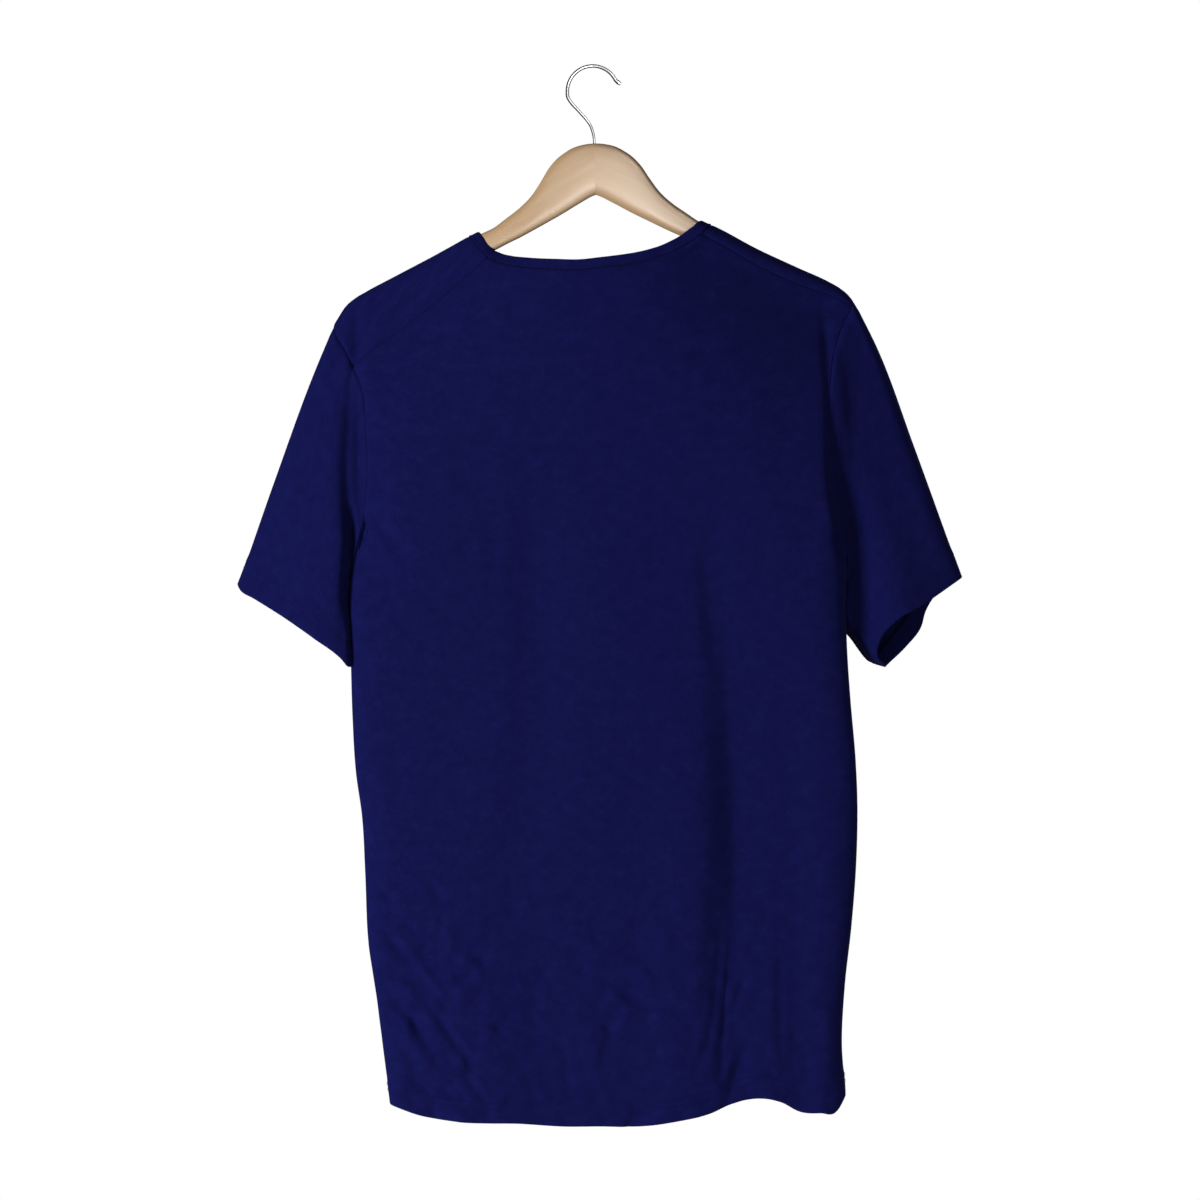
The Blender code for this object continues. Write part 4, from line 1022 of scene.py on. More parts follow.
    def sleeve(self, ring: Grid, edges: dict[str, tuple[Spot, ...]], outboard: int) -> Grid:
        """A sleeve, rows from the armhole to the hem, columns round the ring.

        Args:
            ring: Its armhole.
            edges: Its folds along the top and under the arm, and both layers of its hem.
            outboard: -1 for the left sleeve, 1 for the right one.

        Returns:
            The sleeve's grid; its last column repeats the first.
        """
        half = len(ring.side) // 2
        v = shares(self.sleeve_length, self.sleeve_spacing, self.margins)
        u = np.linspace(0, 1, half + 1)
        flat = np.zeros((len(v), 1))
        top = np.hstack([smooth_path(edges["top"], v), flat])
        under = np.hstack([smooth_path(edges["under"], v), flat])
        closed = np.concatenate([ring.form, ring.form[:1]])
        starts = {Side.BACK: closed[:half + 1], Side.FRONT: closed[half:][::-1]}
        halves = []
        for side, name in ((Side.BACK, "back"), (Side.FRONT, "front")):
            across = (1 + np.interp(u, self.form.share, self.form.across)) / 2
            out = np.interp(u, self.form.share, self.form.out)
            recessed = side == Side.BACK and outboard > 0
            deep = self.right_back_depth if recessed else self.sleeve_depth
            hem = np.hstack([smooth_path(edges[name], across), deep * out[:, None]])
            start = starts[side].copy()
            run = lengths(start)
            start[:, 0] += outboard * self.armpit_spread * ease(1 - run / self.spread_length)
            rail_low, rail_top = under.copy(), top.copy()
            rail_low[0], rail_top[0] = start[0], start[-1]
            halves.append(coons(start, hem, rail_low, rail_top, u, v))
        back, front = halves
        form = np.concatenate([back, front[:, ::-1][:, 1:]], axis=1)
        side = np.where(np.arange(form.shape[1]) <= half, -1.0, 1.0)[None] + 0 * form[..., 0]
        around = np.linspace(0, 1, form.shape[1]) * 2 * self.upper_length
        knit = np.stack(np.broadcast_arrays(around[None], (v * self.sleeve_length)[:, None]),
                        axis=-1)
        return Grid(side, form, knit)

    def tucked(self, points: Array, side: Array, hand: int) -> Array:
        """Passes a sleeve's underarm fold behind the body's side, which covers it.

        Args:
            points: The sleeve's points.
            side: Layer of each point.
            hand: 0 for the left sleeve, 1 for the right one.

        Returns:
            The moved points.
        """
        x, z = points[..., 0], points[..., 2]
        under = np.array((self.sleeve_left, self.sleeve_right)[hand]["under"])[::-1]
        fold = np.interp(z, under[:, 1], under[:, 0])
        share = (ease((self.tuck_top - z) / self.tuck_rise)
                 * np.exp(-((x - fold) / self.tuck_width) ** 2))
        moved = points.copy()
        moved[..., 1] += self.tuck * share
        seam = np.array([(row.x, row.z) for row in (self.armhole_left, self.armhole_right)[hand]
                         if row.side == B])
        edge = np.where(z > self.form.armpit_z, np.interp(z, seam[:, 1], seam[:, 0]),
                        self.form.side_edges(z)[hand])
        past = (x - edge) * (1 - 2 * hand)
        place = self.form.coordinates(-np.ones_like(x), x, z)
        body = self.form.surface(-np.ones_like(x), self.form.form(-np.ones_like(x), *place))
        behind = body[..., 1] + self.cover * ease(past / self.cover)
        over = (side < 0) & (past > 0)
        moved[over, 1] = np.maximum(moved[over, 1], behind[over])
        return moved

    def neck_ring(self, back: Grid, front: Grid) -> Grid:
        """Ring of the neck seam: along the back to the right, then along the front.

        Args:
            back: The back panel.
            front: The front panel.

        Returns:
            The ring's places.
        """
        first, last = self.neck_columns
        tab_rows = 2 * self.tab_steps
        parts = []
        for one, two in zip(back, front):
            parts.append(np.concatenate([one[0, first:last], two[:tab_rows, last],
                                         two[tab_rows, last:first:-1],
                                         two[tab_rows:0:-1, first]]))
        return Grid(*parts)


# ---------------------------------------------------------------- cloth meshes

def grid_normals(points: Array, closed: bool) -> Array:
    """Unit normals of a grid of points, to the left of a row seen from the next one.

    Args:
        points: Rows and columns of points.
        closed: Whether the last column repeats the first.

    Returns:
        A normal for each point.
    """
    down = np.gradient(points, axis=0)
    if closed:
        ring = np.concatenate([points[:, -2:-1], points, points[:, 1:2]], axis=1)
        across = (ring[:, 2:] - ring[:, :-2]) / 2
    else:
        across = np.gradient(points, axis=1)
    normal = np.cross(across, down)
    return normal / np.maximum(np.linalg.norm(normal, axis=-1, keepdims=True), 1e-9)


def distance_to(points: Array, line: Array) -> Array:
    """Distance of every point to a line.

    Args:
        points: Points in rows and columns.
        line: Points of the line, which is sampled three times as densely.

    Returns:
        A distance for each point.
    """
    stations = np.linspace(0, 1, 3 * len(line))
    dense = smooth_path(line, stations) if len(line) > 2 else line
    tree = KDTree(len(dense))
    for index, point in enumerate(dense):
        tree.insert(point, index)
    tree.balance()
    flat = points.reshape(-1, 3)
    return np.array([tree.find(point)[2] for point in flat]).reshape(points.shape[:-1])


def heights_above_end(points: Array) -> Array:
    """Mean length of cloth from each row of a grid to its last row."""
    run = np.linalg.norm(np.diff(points, axis=0), axis=-1).mean(axis=1)
    return np.concatenate([np.cumsum(run[::-1])[::-1], [0]])


def point_grid(rows: int, cols: int) -> tuple[bmesh.types.BMesh, dict]:
    """A grid of faces, to be bent into shape.

    Args:
        rows: Number of its points down.
        cols: Number of its points across.

    Returns:
        The mesh, and the row and column of each of its vertices.
    """
    form = bmesh.new()
    bmesh.ops.create_grid(form, x_segments=cols - 1, y_segments=rows - 1, size=0.5)
    spots = {vertex: (round((vertex.co.y + 0.5) * (rows - 1)),
                      round((vertex.co.x + 0.5) * (cols - 1))) for vertex in form.verts}
    return form, spots


@dataclass
class ClothPiece:
    """A sewn piece of jersey, worked up from its grid into a shell with its seams and hem."""

    name: str
    points: Array
    knit: Array
    outward: int
    closed: bool = False
    thickness: float = 0.9
    turn_gap: float = 1.7
    ditch_width: float = 1.7
    allowance_slopes: tuple[float, float] = (2.4, 2.6)
    hem_fade: float = 2.5
    turn_steps: tuple[float, ...] = (math.pi / 4, math.pi / 2, 3 * math.pi / 4)

    def __post_init__(self) -> None:
        """Works out the outward normals."""
        self.normals = grid_normals(self.points, self.closed) * self.outward

    def raise_by(self, height: Array) -> None:
        """Moves the cloth out along its normals, or in where the height is less than 0.

        Args:
            height: How far each point moves.
        """
        self.points = self.points + self.normals * height[..., None]
        if self.closed:
            self.points[:, -1] = self.points[:, 0]
        self.normals = grid_normals(self.points, self.closed) * self.outward

    def sew(self, line: Array, ridge: float = 0.0, width: float = 6.0,
            depth: float = 0.5) -> None:
        """Draws the cloth in along a seam, over the seam allowance pressed to this side.

        Args:
            line: Points of the seam.
            ridge: Height of the allowance under the cloth; 0 where it is pressed away.
            width: Width of the allowance.
            depth: How far the seam is drawn in.
        """
        away = distance_to(self.points, line)
        rise, fall = self.allowance_slopes
        ditch = -depth * np.exp(-(away / self.ditch_width) ** 2)
        allowance = ridge * ease(away / rise) * (1 - ease((away - width) / fall))
        self.raise_by(ditch + allowance)

    def turn_up(self, length: float, step: float = 0.8) -> None:
        """Turns the last rows up inside, as a hem.

        Args:
            length: How far the turned cloth reaches up.
            step: Step that the doubled cloth makes, half of it on the outside.
        """
        above = heights_above_end(self.points)
        doubled = step / 2 * (1 - ease((above - length) / self.hem_fade))
        self.raise_by(np.broadcast_to(doubled[:, None], self.points.shape[:2]))
        edge, before = self.points[-1], self.points[-2]
        down = edge - before
        down /= np.linalg.norm(down, axis=-1, keepdims=True)
        normal = self.normals[-1]
        radius = self.turn_gap / 2
        rows, knits = [], []
        for angle in self.turn_steps:
            rows.append(edge - normal * radius * (1 - math.cos(angle))
                        + down * radius * math.sin(angle))
            knits.append(self.knit[-1])
        inside = [row for row in range(len(above) - 1, 0, -1) if above[row] <= length]
        for row in inside:
            rows.append(self.points[row] - self.normals[row] * self.turn_gap)
            knits.append(self.knit[row])
        self.points = np.concatenate([self.points, np.stack(rows)])
        self.knit = np.concatenate([self.knit, np.stack(knits)])

    def mesh(self, hole: Callable[[int, int], bool] | None = None) -> bpy.types.Object:
        """Makes the piece's object.

        Args:
            hole: Says of a cell's row and column whether it is cut out.

        Returns:
            The object, a thin shell with the knit's coordinates in a UV map.
        """
        form, spots = point_grid(*self.points.shape[:2])
        knit = form.loops.layers.uv.new("knit")
        if hole is not None:
            cut = [face for face in form.faces if hole(*map(min, *(spots[v] for v in face.verts)))]
            bmesh.ops.delete(form, geom=cut, context="FACES")
        for face in form.faces:
            for loop in face.loops:
                loop[knit].uv = self.knit[spots[loop.vert]] * MM
        for vertex in form.verts:
            vertex.co = self.points[spots[vertex]] * MM
        if self.outward > 0:
            bmesh.ops.reverse_faces(form, faces=form.faces)
        if self.closed:
            bmesh.ops.remove_doubles(form, verts=form.verts, dist=WELD)
        piece = finished(self.name, form)
        wall = piece.modifiers.new("wall", "SOLIDIFY")
        wall.thickness = self.thickness * MM
        wall.offset = 0.0
        wall.use_even_offset = False
        return piece


def finished(name: str, form: bmesh.types.BMesh, sharp: float = 55.0) -> bpy.types.Object:
    """Object at the origin from a bmesh, shaded smooth but for its sharp edges.

    Args:
        name: The object's name.
        form: The mesh, which is freed.
        sharp: Angle in degrees from which an edge stays sharp.

    Returns:
        The new object.
    """
    data = bpy.data.meshes.new(name)
    form.to_mesh(data)
    form.free()
    data.shade_smooth()
    data.set_sharp_from_angle(angle=math.radians(sharp))
    piece = bpy.data.objects.new(name, data)
    bpy.context.scene.collection.objects.link(piece)
    return piece


@dataclass
class StitchLine:
    """A row of sewing: short stitches that lie on the cloth."""

    name: str
    pitch: float = 3.1
    stitch: float = 2.3
    thread: float = 0.42

    def build(self, lines: Sequence[Line]) -> bpy.types.Object:
        """Makes the stitches of several lines as one mesh.

        Args:
            lines: Points and outward normals of each line.

        Returns:
            The object.
        """
        form = bmesh.new()
        for points, normals in lines:
            run = lengths(points)
            for start in np.arange(self.pitch / 2, run[-1] - self.pitch / 2, self.pitch):
                ends = [np.array([np.interp(start + shift, run, axis) for axis in points.T])
                        for shift in (-self.stitch / 2, self.stitch / 2)]
                normal = np.array([np.interp(start, run, axis) for axis in normals.T])
                along = Vector(ends[1] - ends[0]).normalized()
                up = Vector(normal).normalized()
                across = up.cross(along).normalized()
                turn = Matrix((along, across, up)).transposed().to_4x4()
                middle = Vector((ends[0] + ends[1]) / 2) * MM
                size = Matrix.Diagonal((self.stitch / 2 * MM, self.thread / 2 * MM,
                                        self.thread / 2 * MM, 1.0))
                bmesh.ops.create_icosphere(form, subdivisions=1, radius=1.0,
                                           matrix=Matrix.Translation(middle) @ turn @ size)
        return finished(self.name, form, sharp=80.0)


# ---------------------------------------------------------------- the shirt

@dataclass
class Shirt:
    """All sewn pieces of the shirt.

    A line of stitching is kept as its points and the cloth's outward normals there.
    """

    pattern: ShirtPattern
    jersey: bpy.types.Material
    thread: bpy.types.Material
    hem_length: float = 20.0
    sleeve_hem: float = 19.0
    stitch_rise: float = 0.62
    doubled_rise: float = 0.35
    hem_rows: tuple[float, float] = (2.0, 7.5)
    cuff_rows: tuple[float, float] = (2.0, 7.0)
    tape_width: float = 8.2
    tape_height: float = 0.9
    tape_groove: float = 0.85
    tape_end: int = 6
    tape_slopes: tuple[float, float] = (2.0, 1.6)
    groove_place: float = 0.6
    groove_width: float = 1.5
    neck_rows: int = 40
    band_gap: float = 2.0
    band_face: tuple[float, ...] = (0.0, 1.0, 2.2, 3.6, 5.0, 6.4)
    band_inside: tuple[float, ...] = (6.0, 4.0, 2.0, 0.4)
    band_turn: tuple[float, ...] = (30.0, 60.0, 90.0, 120.0, 150.0)
    band_roll: float = 3.6
    band_ditch: float = 0.6
    band_ditch_width: float = 1.2
    sleeve_ditches: tuple[float, float] = (0.25, 0.1)
    roll_place: Spot = Spot(-96.0, -162.0)
    roll_reach: float = 18.0
    normal_step: float = 1.0
    flat_sizes: dict[str, tuple[float, float, float]] = field(default_factory=lambda: {
        "back_panel": (0.50, 0.80, 0.355), "front_panel": (0.50, 0.84, 0.372),
        "sleeve_left": (0.37, 0.257, 0.061), "sleeve_right": (0.37, 0.257, 0.061),
        "neckband": (0.56, 0.02, 0.0112),
    })

    def build(self) -> list[bpy.types.Object]:
        """Makes and declares every sewn piece.

        Returns:
            The pieces' objects.
        """
        form = self.pattern.form
        back_grid, front_grid = self.pattern.back(), self.pattern.front()
        rings = [self.pattern.armhole_ring(back_grid, front_grid, end) for end in ENDS]
        neck = self.pattern.neck_ring(back_grid, front_grid)
        seams = {name: form.surface(ring.side, ring.form)
                 for name, ring in (("left", rings[0]), ("right", rings[1]), ("neck", neck))}
        back = ClothPiece("back_panel_cloth", form.surface(back_grid.side, back_grid.form),
                          back_grid.knit, outward=-1)
        front = ClothPiece("front_panel_cloth", form.surface(front_grid.side, front_grid.form),
                           front_grid.knit, outward=1)
        stitch_lines: list[Line] = []
        self.sew_back(back, seams, stitch_lines)
        self.sew_front(front, seams)
        pieces = [back.mesh(), front.mesh(self.neck_hole)]
        for hand, (name, edges, outboard) in enumerate((
                ("left", self.pattern.sleeve_left, -1), ("right", self.pattern.sleeve_right, 1))):
            grid = self.pattern.sleeve(rings[hand], edges, outboard)
            points = self.pattern.tucked(form.surface(grid.side, grid.form), grid.side, hand)
            sleeve = ClothPiece(f"sleeve_{name}_cloth", points, grid.knit, outward=-outboard,
                                closed=True)
            sleeve.sew(seams[name], depth=self.sleeve_ditches[hand])
            self.cuff(sleeve, stitch_lines)
            pieces.append(sleeve.mesh())
        pieces.append(self.neckband(seams["neck"], neck))
        self.hem_lines(back, front, stitch_lines)
        stitches = StitchLine("hem_and_neck_stitching").build(stitch_lines)
        self.declare(pieces, stitches)
        return pieces + [stitches]

    def neck_hole(self, row: int, col: int) -> bool:
        """Whether a cell of the front's grid is inside the neck."""
        first, last = self.pattern.neck_columns
        return row < 2 * self.pattern.tab_steps and first <= col < last

    def sew_back(self, back: ClothPiece, seams: dict[str, Array],
                 stitch_lines: list[Line]) -> None:
        """Seams of the back panel and the line of stitching below its neck.

        Args:
            back: The panel.
            seams: Armhole and neck seams.
            stitch_lines: Rows of stitching, to which this adds.
        """
        first, last = self.pattern.neck_columns
        shoulder_left, shoulder_right = back.points[0, :first + 1], back.points[0, last:]
        neck = back.points[0, first:last + 1]
        away = distance_to(back.points, neck)
        column_at = np.arange(back.points.shape[1])
        ends = ease((column_at - first + self.tape_end) / self.tape_end)
        ends = ends * ease((last + self.tape_end - column_at) / self.tape_end)
        rise, fall = self.tape_slopes
        tape = self.tape_height * ease(away / rise) * (1 - ease((away - self.tape_width) / fall))
        off = away - self.tape_width - self.groove_place
        groove = -self.tape_groove * np.exp(-(off / self.groove_width) ** 2)
        back.raise_by((tape + groove) * ends[None])
        stitch_lines.append(self.tape_line(back))
        back.sew(shoulder_left, ridge=0.3, width=5.0, depth=0.35)
        back.sew(shoulder_right, ridge=0.2, width=5.0, depth=0.25)
        back.sew(neck)
        back.sew(seams["left"], ridge=0.3, depth=0.4)
        back.sew(seams["right"], depth=0.1)
        for end in ENDS:
            back.sew(back.points[len(self.pattern.upper):, end], ridge=0.3, width=5.0)
        back.turn_up(self.hem_length)

    def tape_line(self, back: ClothPiece) -> Line:
        """Line of stitching along the lower edge of the neck's tape.

        Args:
            back: The back panel.

        Returns:
            Its points and normals.
        """
        first, last = self.pattern.neck_columns
        points, normals = [], []
        for col in range(first, last + 1):
            away = np.linalg.norm(back.points[:self.neck_rows, col] - back.points[0, col], axis=1)
            row = np.interp(self.tape_width, away, np.arange(self.neck_rows))
            low = int(row)
            points.append(lerp(back.points[low, col], back.points[low + 1, col], row - low))
            normals.append(back.normals[low, col])
        points, normals = np.array(points), np.array(normals)
        return points + normals * self.stitch_rise, normals

    def sew_front(self, front: ClothPiece, seams: dict[str, Array]) -> None:
        """Seams of the front panel and its hem.

        Args:
            front: The panel.
            seams: Armhole and neck seams.
        """
        first, last = self.pattern.neck_columns
        front.sew(front.points[0, :first + 1], depth=0.35)
        front.sew(front.points[0, last:], depth=0.35)
        front.sew(seams["neck"])
        front.sew(seams["left"], ridge=0.35, depth=0.35)
        front.sew(seams["right"], depth=0.1)
        start = 2 * self.pattern.tab_steps + len(self.pattern.upper)
        for end in ENDS:
            front.sew(front.points[start:, end], ridge=0.3, width=5.0)
        front.turn_up(self.hem_length)

    def cuff(self, sleeve: ClothPiece, stitch_lines: list[Line]) -> None:
        """Turns a sleeve's hem up and sews it with two rows.

        Args:
            sleeve: The sleeve.
            stitch_lines: Rows of stitching, to which this adds.
        """
        edge = len(sleeve.points) - 1
        for row in self.cuff_rows:
            stitch_lines.append(self.row_line(sleeve, edge, self.sleeve_hem - row))
        sleeve.turn_up(self.sleeve_hem)

    def row_line(self, piece: ClothPiece, edge: int, above: float) -> Line:
        """Line of stitching at a height above a piece's hem.

        Args:
            piece: The piece.
            edge: Its lowest row.
            above: Height above that row.

        Returns:
            Points and normals of the line.
        """
        heights = heights_above_end(piece.points[:edge + 1])
        row = np.interp(-above, -heights, np.arange(edge + 1))
        low = int(row)
        points = lerp(piece.points[low], piece.points[low + 1], row - low)
        rise = self.stitch_rise + self.doubled_rise
        return points + piece.normals[low] * rise, piece.normals[low]

    def hem_lines(self, back: ClothPiece, front: ClothPiece, stitch_lines: list[Line]) -> None:
        """Two rows of stitching round the body's hem.

        Args:
            back: The back panel.
            front: The front panel.
            stitch_lines: Rows of stitching, to which this adds.
        """
        start = len(self.pattern.upper) + len(self.pattern.lower) - 2
        for piece, edge in ((back, start), (front, start + 2 * self.pattern.tab_steps)):
            for row in self.hem_rows:
                stitch_lines.append(self.row_line(piece, edge, self.hem_length - row))

    def neckband(self, ring: Array, grid: Grid) -> bpy.types.Object:
        """The band round the neck, folded double along its edge.

        Args:
            ring: Points of the neck seam.
            grid: The seam's places.

        Returns:
            The band's object.
        """
        width = self.pattern.band_width
        ring = np.concatenate([ring, ring[:1]])
        along = np.gradient(np.concatenate([ring[-2:-1], ring, ring[1:2]]), axis=0)[1:-1]
        along /= np.linalg.norm(along, axis=1, keepdims=True)
        normal = self.cloth_normals(grid)
        normal = np.concatenate([normal, normal[:1]])
        across = np.cross(normal, along)
        across /= np.linalg.norm(across, axis=1, keepdims=True)
        radius = self.band_gap / 2
        flat = width - radius
        rows = [ring + across * reach for reach in (*self.band_face, flat)]
        rows += [ring + across * (flat + radius * math.sin(angle))
                 - normal * radius * (1 - math.cos(angle))
                 for angle in np.radians(self.band_turn)]
        rows += [ring + across * reach - normal * self.band_gap
                 for reach in (flat, *self.band_inside)]
        points = np.stack(rows)
        reached = np.linalg.norm(points - ring, axis=-1, keepdims=True) / width
        away = (ring[:, 0] - self.roll_place.x) ** 2 + (ring[:, 2] - self.roll_place.z) ** 2
        roll = self.band_roll * np.exp(-away / self.roll_reach ** 2)
        points = points - normal * roll[:, None] * reached ** 2
        step = np.linalg.norm(np.diff(points, axis=0), axis=-1).mean(axis=1)
        reach = np.concatenate([[0], np.cumsum(step)])
        knit = np.stack(np.broadcast_arrays(lengths(ring)[None], reach[:, None]), axis=-1)
        band = ClothPiece("neckband_cloth", points, knit, outward=-1, closed=True)
        away = distance_to(points, ring)
        ditch = -self.band_ditch * np.exp(-(away / self.band_ditch_width) ** 2)
        face = np.arange(len(points)) <= len(self.band_face)
        band.raise_by(ditch * face[:, None])
        return band.mesh()

    def cloth_normals(self, grid: Grid) -> Array:
        """Outward normals of the cloth along a seam.

        Args:
            grid: The seam's places.

        Returns:
            A normal for each place.
        """
        form, step = self.pattern.form, self.normal_step
        girth, fall = form.coordinates(grid.side, grid.form[:, 0], grid.form[:, 1])

        def spot(girths: Array, falls: Array) -> Array:
            """Points of the cloth at its coordinates."""
            side = np.where(falls < 0, -1.0, 1.0)
            return form.surface(side, form.form(side, girths, falls))

        across = spot(girth + step, fall) - spot(girth - step, fall)
        down = spot(girth, fall + step) - spot(girth, fall - step)
        normal = np.cross(across, down)
        return normal / np.linalg.norm(normal, axis=1, keepdims=True)

    def declare(self, pieces: list[bpy.types.Object], stitches: bpy.types.Object) -> None:
        """Dresses the pieces and tells the frame what they are.

        Args:
            pieces: The sewn pieces, named for the nodes that they replace.
            stitches: All rows of stitching.
        """
        for piece in pieces:
            node = piece.name.removesuffix("_cloth")
            piece.data.materials.append(self.jersey)
            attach(piece, "root")
            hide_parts(node)
        stitches.data.materials.append(self.thread)
        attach(stitches, "root")


# ---------------------------------------------------------------- the hanger

class ArmStation(NamedTuple):
    """Outline of a hanger half at one place across."""

    x: float
    top: float
    low: float


@dataclass
class Hanger:
    """Contoured wooden hanger with its wire hook."""

    form: ShirtForm
    wood: dict[str, bpy.types.Material]
    chrome: bpy.types.Material
    thick: float = 13.0
    section_power: float = 3.2
    joint_gap: float = 0.02
    crown_z: float = -68.3
    notch_z: float = -114.5
    end_x: float = 209.0
    seat: float = 1.2
    tip_length: float = 9.0
    tip_least: float = 0.04
    tip_drop: float = 2.5
    station_step: float = 2.5
    section_steps: int = 96
    wire_radius: float = 1.6
    wire_rounding: int = 12
    loop_radius: float = 22.8
    loop_start: float = 24.0
    loop_points: int = 128
    stem_points: int = 120
    tip_shares: tuple[float, float] = (0.9, 1.25)
    stem_share: float = 0.68
    tip: Spot = Spot(25.3, -15.6)
    outline: tuple[ArmStation, ...] = (
        ArmStation(5, -68.5, -116.5), ArmStation(12, -69.6, -120.3), ArmStation(19, -71.6, -124.2),
        ArmStation(27, -76, -128.8), ArmStation(35, -82, -133.2), ArmStation(42, -90, -136.8),
        ArmStation(49, -101, -140.4), ArmStation(57, -112.5, -144.5), ArmStation(68, -123.3, -150),
        ArmStation(81, -132.8, -155.8), ArmStation(93, -141.1, -161.5),
    )
    neck_height: float = 20.0
    end_height: float = 15.0
    covered: tuple[float, ...] = (104.0, 122.0, 144.0, 162.0, 180.0, 192.0, 202.0)
    stem: tuple[Spot, ...] = (
        Spot(-22.9, -21.2), Spot(-22.7, -25.2), Spot(-19.6, -31), Spot(-13.4, -38.2),
        Spot(-7.2, -45.6), Spot(-3.2, -51.5), Spot(-0.9, -58.5), Spot(0, -64), Spot(0, -69.5),
    )

    def build(self) -> list[bpy.types.Object]:
        """Makes and declares both arms and the hook.

        Returns:
            The pieces' objects.
        """
        pieces = []
        for name, hand in (("left", -1), ("right", 1)):
            arm = self.arm(f"hanger_arm_{name}_wood", hand)
            arm.data.materials.append(self.wood[name])
            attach(arm, "root")
            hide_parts(f"hanger_arm_{name}")
            pieces.append(arm)
        hook = self.hook()
        hook.data.materials.append(self.chrome)
        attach(hook, "root")
        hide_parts("hanger_hook")
        return pieces + [hook]

    def profile(self) -> tuple[Array, Array, Array]:
        """Outline of a half along its length.

        Returns:
            Places across, heights of the top edge and heights of the underside.
        """
        xs, tops, lows = [self.joint_gap / 2], [self.crown_z], [self.notch_z]
        for row in self.outline:
            xs.append(row.x)
            tops.append(row.top)
            lows.append(row.low)
        for x in self.covered:
            top = float(min(self.form.ridge_z(x), self.form.ridge_z(-x))) - self.seat
            share = (x - self.covered[0]) / (self.end_x - self.covered[0])
            xs.append(x)
            tops.append(top)
            lows.append(top - lerp(self.neck_height, self.end_height, share))
        x = np.arange(xs[0], self.end_x, self.station_step)
        x = np.append(x, self.end_x)
        return x, smooth_curve(xs, tops, x), smooth_curve(xs, lows, x)

    def arm(self, name: str, hand: int) -> bpy.types.Object:
        """Half of the wood, lofted from the glue joint to the rounded end.

        Args:
            name: The object's name.
            hand: -1 for the left half, 1 for the right one.

        Returns:
            The half's object.
        """
        x, top, low = self.profile()
        left = np.clip((self.end_x - x) / self.tip_length, 0, 1)
        close = np.sqrt(1 - (1 - left) ** 2) * (1 - self.tip_least) + self.tip_least
        middle = (top + low) / 2 - (1 - close) * self.tip_drop
        half = (top - low) / 2 * close
        angle = np.linspace(0, 2 * math.pi, self.section_steps + 1)
        power = 2 / self.section_power
        round_y = signed_power(np.cos(angle), power)
        round_z = signed_power(np.sin(angle), power)
        points = np.empty((len(x), len(angle), 3))
        points[..., 0] = (x * hand)[:, None]
        points[..., 1] = (self.form.forward(x)[:, None]
                          + round_y[None] * (self.thick / 2 * close)[:, None])
        points[..., 2] = middle[:, None] + round_z[None] * half[:, None]
        form, spots = point_grid(*points.shape[:2])
        for vertex, spot in spots.items():
            vertex.co = points[spot] * MM
        bmesh.ops.remove_doubles(form, verts=form.verts, dist=WELD)
        rims = [edge for edge in form.edges if edge.is_boundary]
        bmesh.ops.holes_fill(form, edges=rims, sides=0)
        bmesh.ops.recalc_face_normals(form, faces=form.faces)
        return finished(name, form, sharp=50.0)

    def hook(self) -> bpy.types.Object:
        """The wire: an open loop that starts at a small bead, and its thinning stem.

        Returns:
            The hook's object.
        """
        centre_z = self.wire_radius - self.loop_radius
        angles = np.radians(np.linspace(self.loop_start, 180, self.loop_points))
        loop = np.stack([self.loop_radius * np.cos(angles),
                         centre_z + self.loop_radius * np.sin(angles)], axis=1)
        stem = smooth_path(self.stem, np.linspace(0, 1, self.stem_points))[1:]
        lead = np.array([(self.tip.x, self.tip.z)])
        route = np.concatenate([lead, lerp(lead, loop[:1], 0.5), loop, stem])
        thickness = np.concatenate([self.tip_shares, np.ones(len(loop)),
                                    np.linspace(1.0, self.stem_share, len(stem))])
        curve = bpy.data.curves.new("hanger_hook_wire", "CURVE")
        curve.dimensions = "3D"
        curve.bevel_depth = self.wire_radius * MM
        curve.bevel_resolution = self.wire_rounding
        curve.use_fill_caps = True
        spline = curve.splines.new("POLY")
        spline.points.add(len(route) - 1)
        for point, (x, z), share in zip(spline.points, route, thickness):
            point.co = (x * MM, 0, z * MM, 1)
            point.radius = share
        hook = bpy.data.objects.new("hanger_hook_wire", curve)
        bpy.context.scene.collection.objects.link(hook)
        return hook


# ---------------------------------------------------------------- finishes

def linear(hex_colour: str) -> tuple[float, float, float, float]:
    """Linear colour of an sRGB hex value.

    Args:
        hex_colour: Six hex digits.

    Returns:
        Red, green, blue and alpha.
    """
    values = [int(hex_colour[i:i + 2], 16) / 255 for i in (0, 2, 4)]
    turned = [v / 12.92 if v <= 0.04045 else ((v + 0.055) / 1.055) ** 2.4 for v in values]
    return (*turned, 1.0)


def feed(tree: bpy.types.NodeTree, node: bpy.types.Node, **inputs: object) -> None:
    """Sets or links inputs of a node.

    Args:
        tree: The node's tree.
        node: The node.
        **inputs: A socket's name, with underscores for spaces, or in_0 for its number, and
            either a value or the socket that feeds it.
    """
    for name, value in inputs.items():
        key = int(name[3:]) if name.startswith("in_") else name.replace("_", " ")
        socket = node.inputs[key]
        if isinstance(value, bpy.types.NodeSocket):
            tree.links.new(value, socket)
        else:
            socket.default_value = value


def add_node(tree: bpy.types.NodeTree, kind: str, settings: dict | None = None,
             **inputs: object) -> bpy.types.Node:
    """Adds a node.

    Args:
        tree: The tree that gets it.
        kind: Type of the node.
        settings: Attributes of the node.
        **inputs: Its values and links, as feed takes them.

    Returns:
        The node.
    """
    node = tree.nodes.new(kind)
    for name, value in (settings or {}).items():
        setattr(node, name, value)
    feed(tree, node, **inputs)
    return node


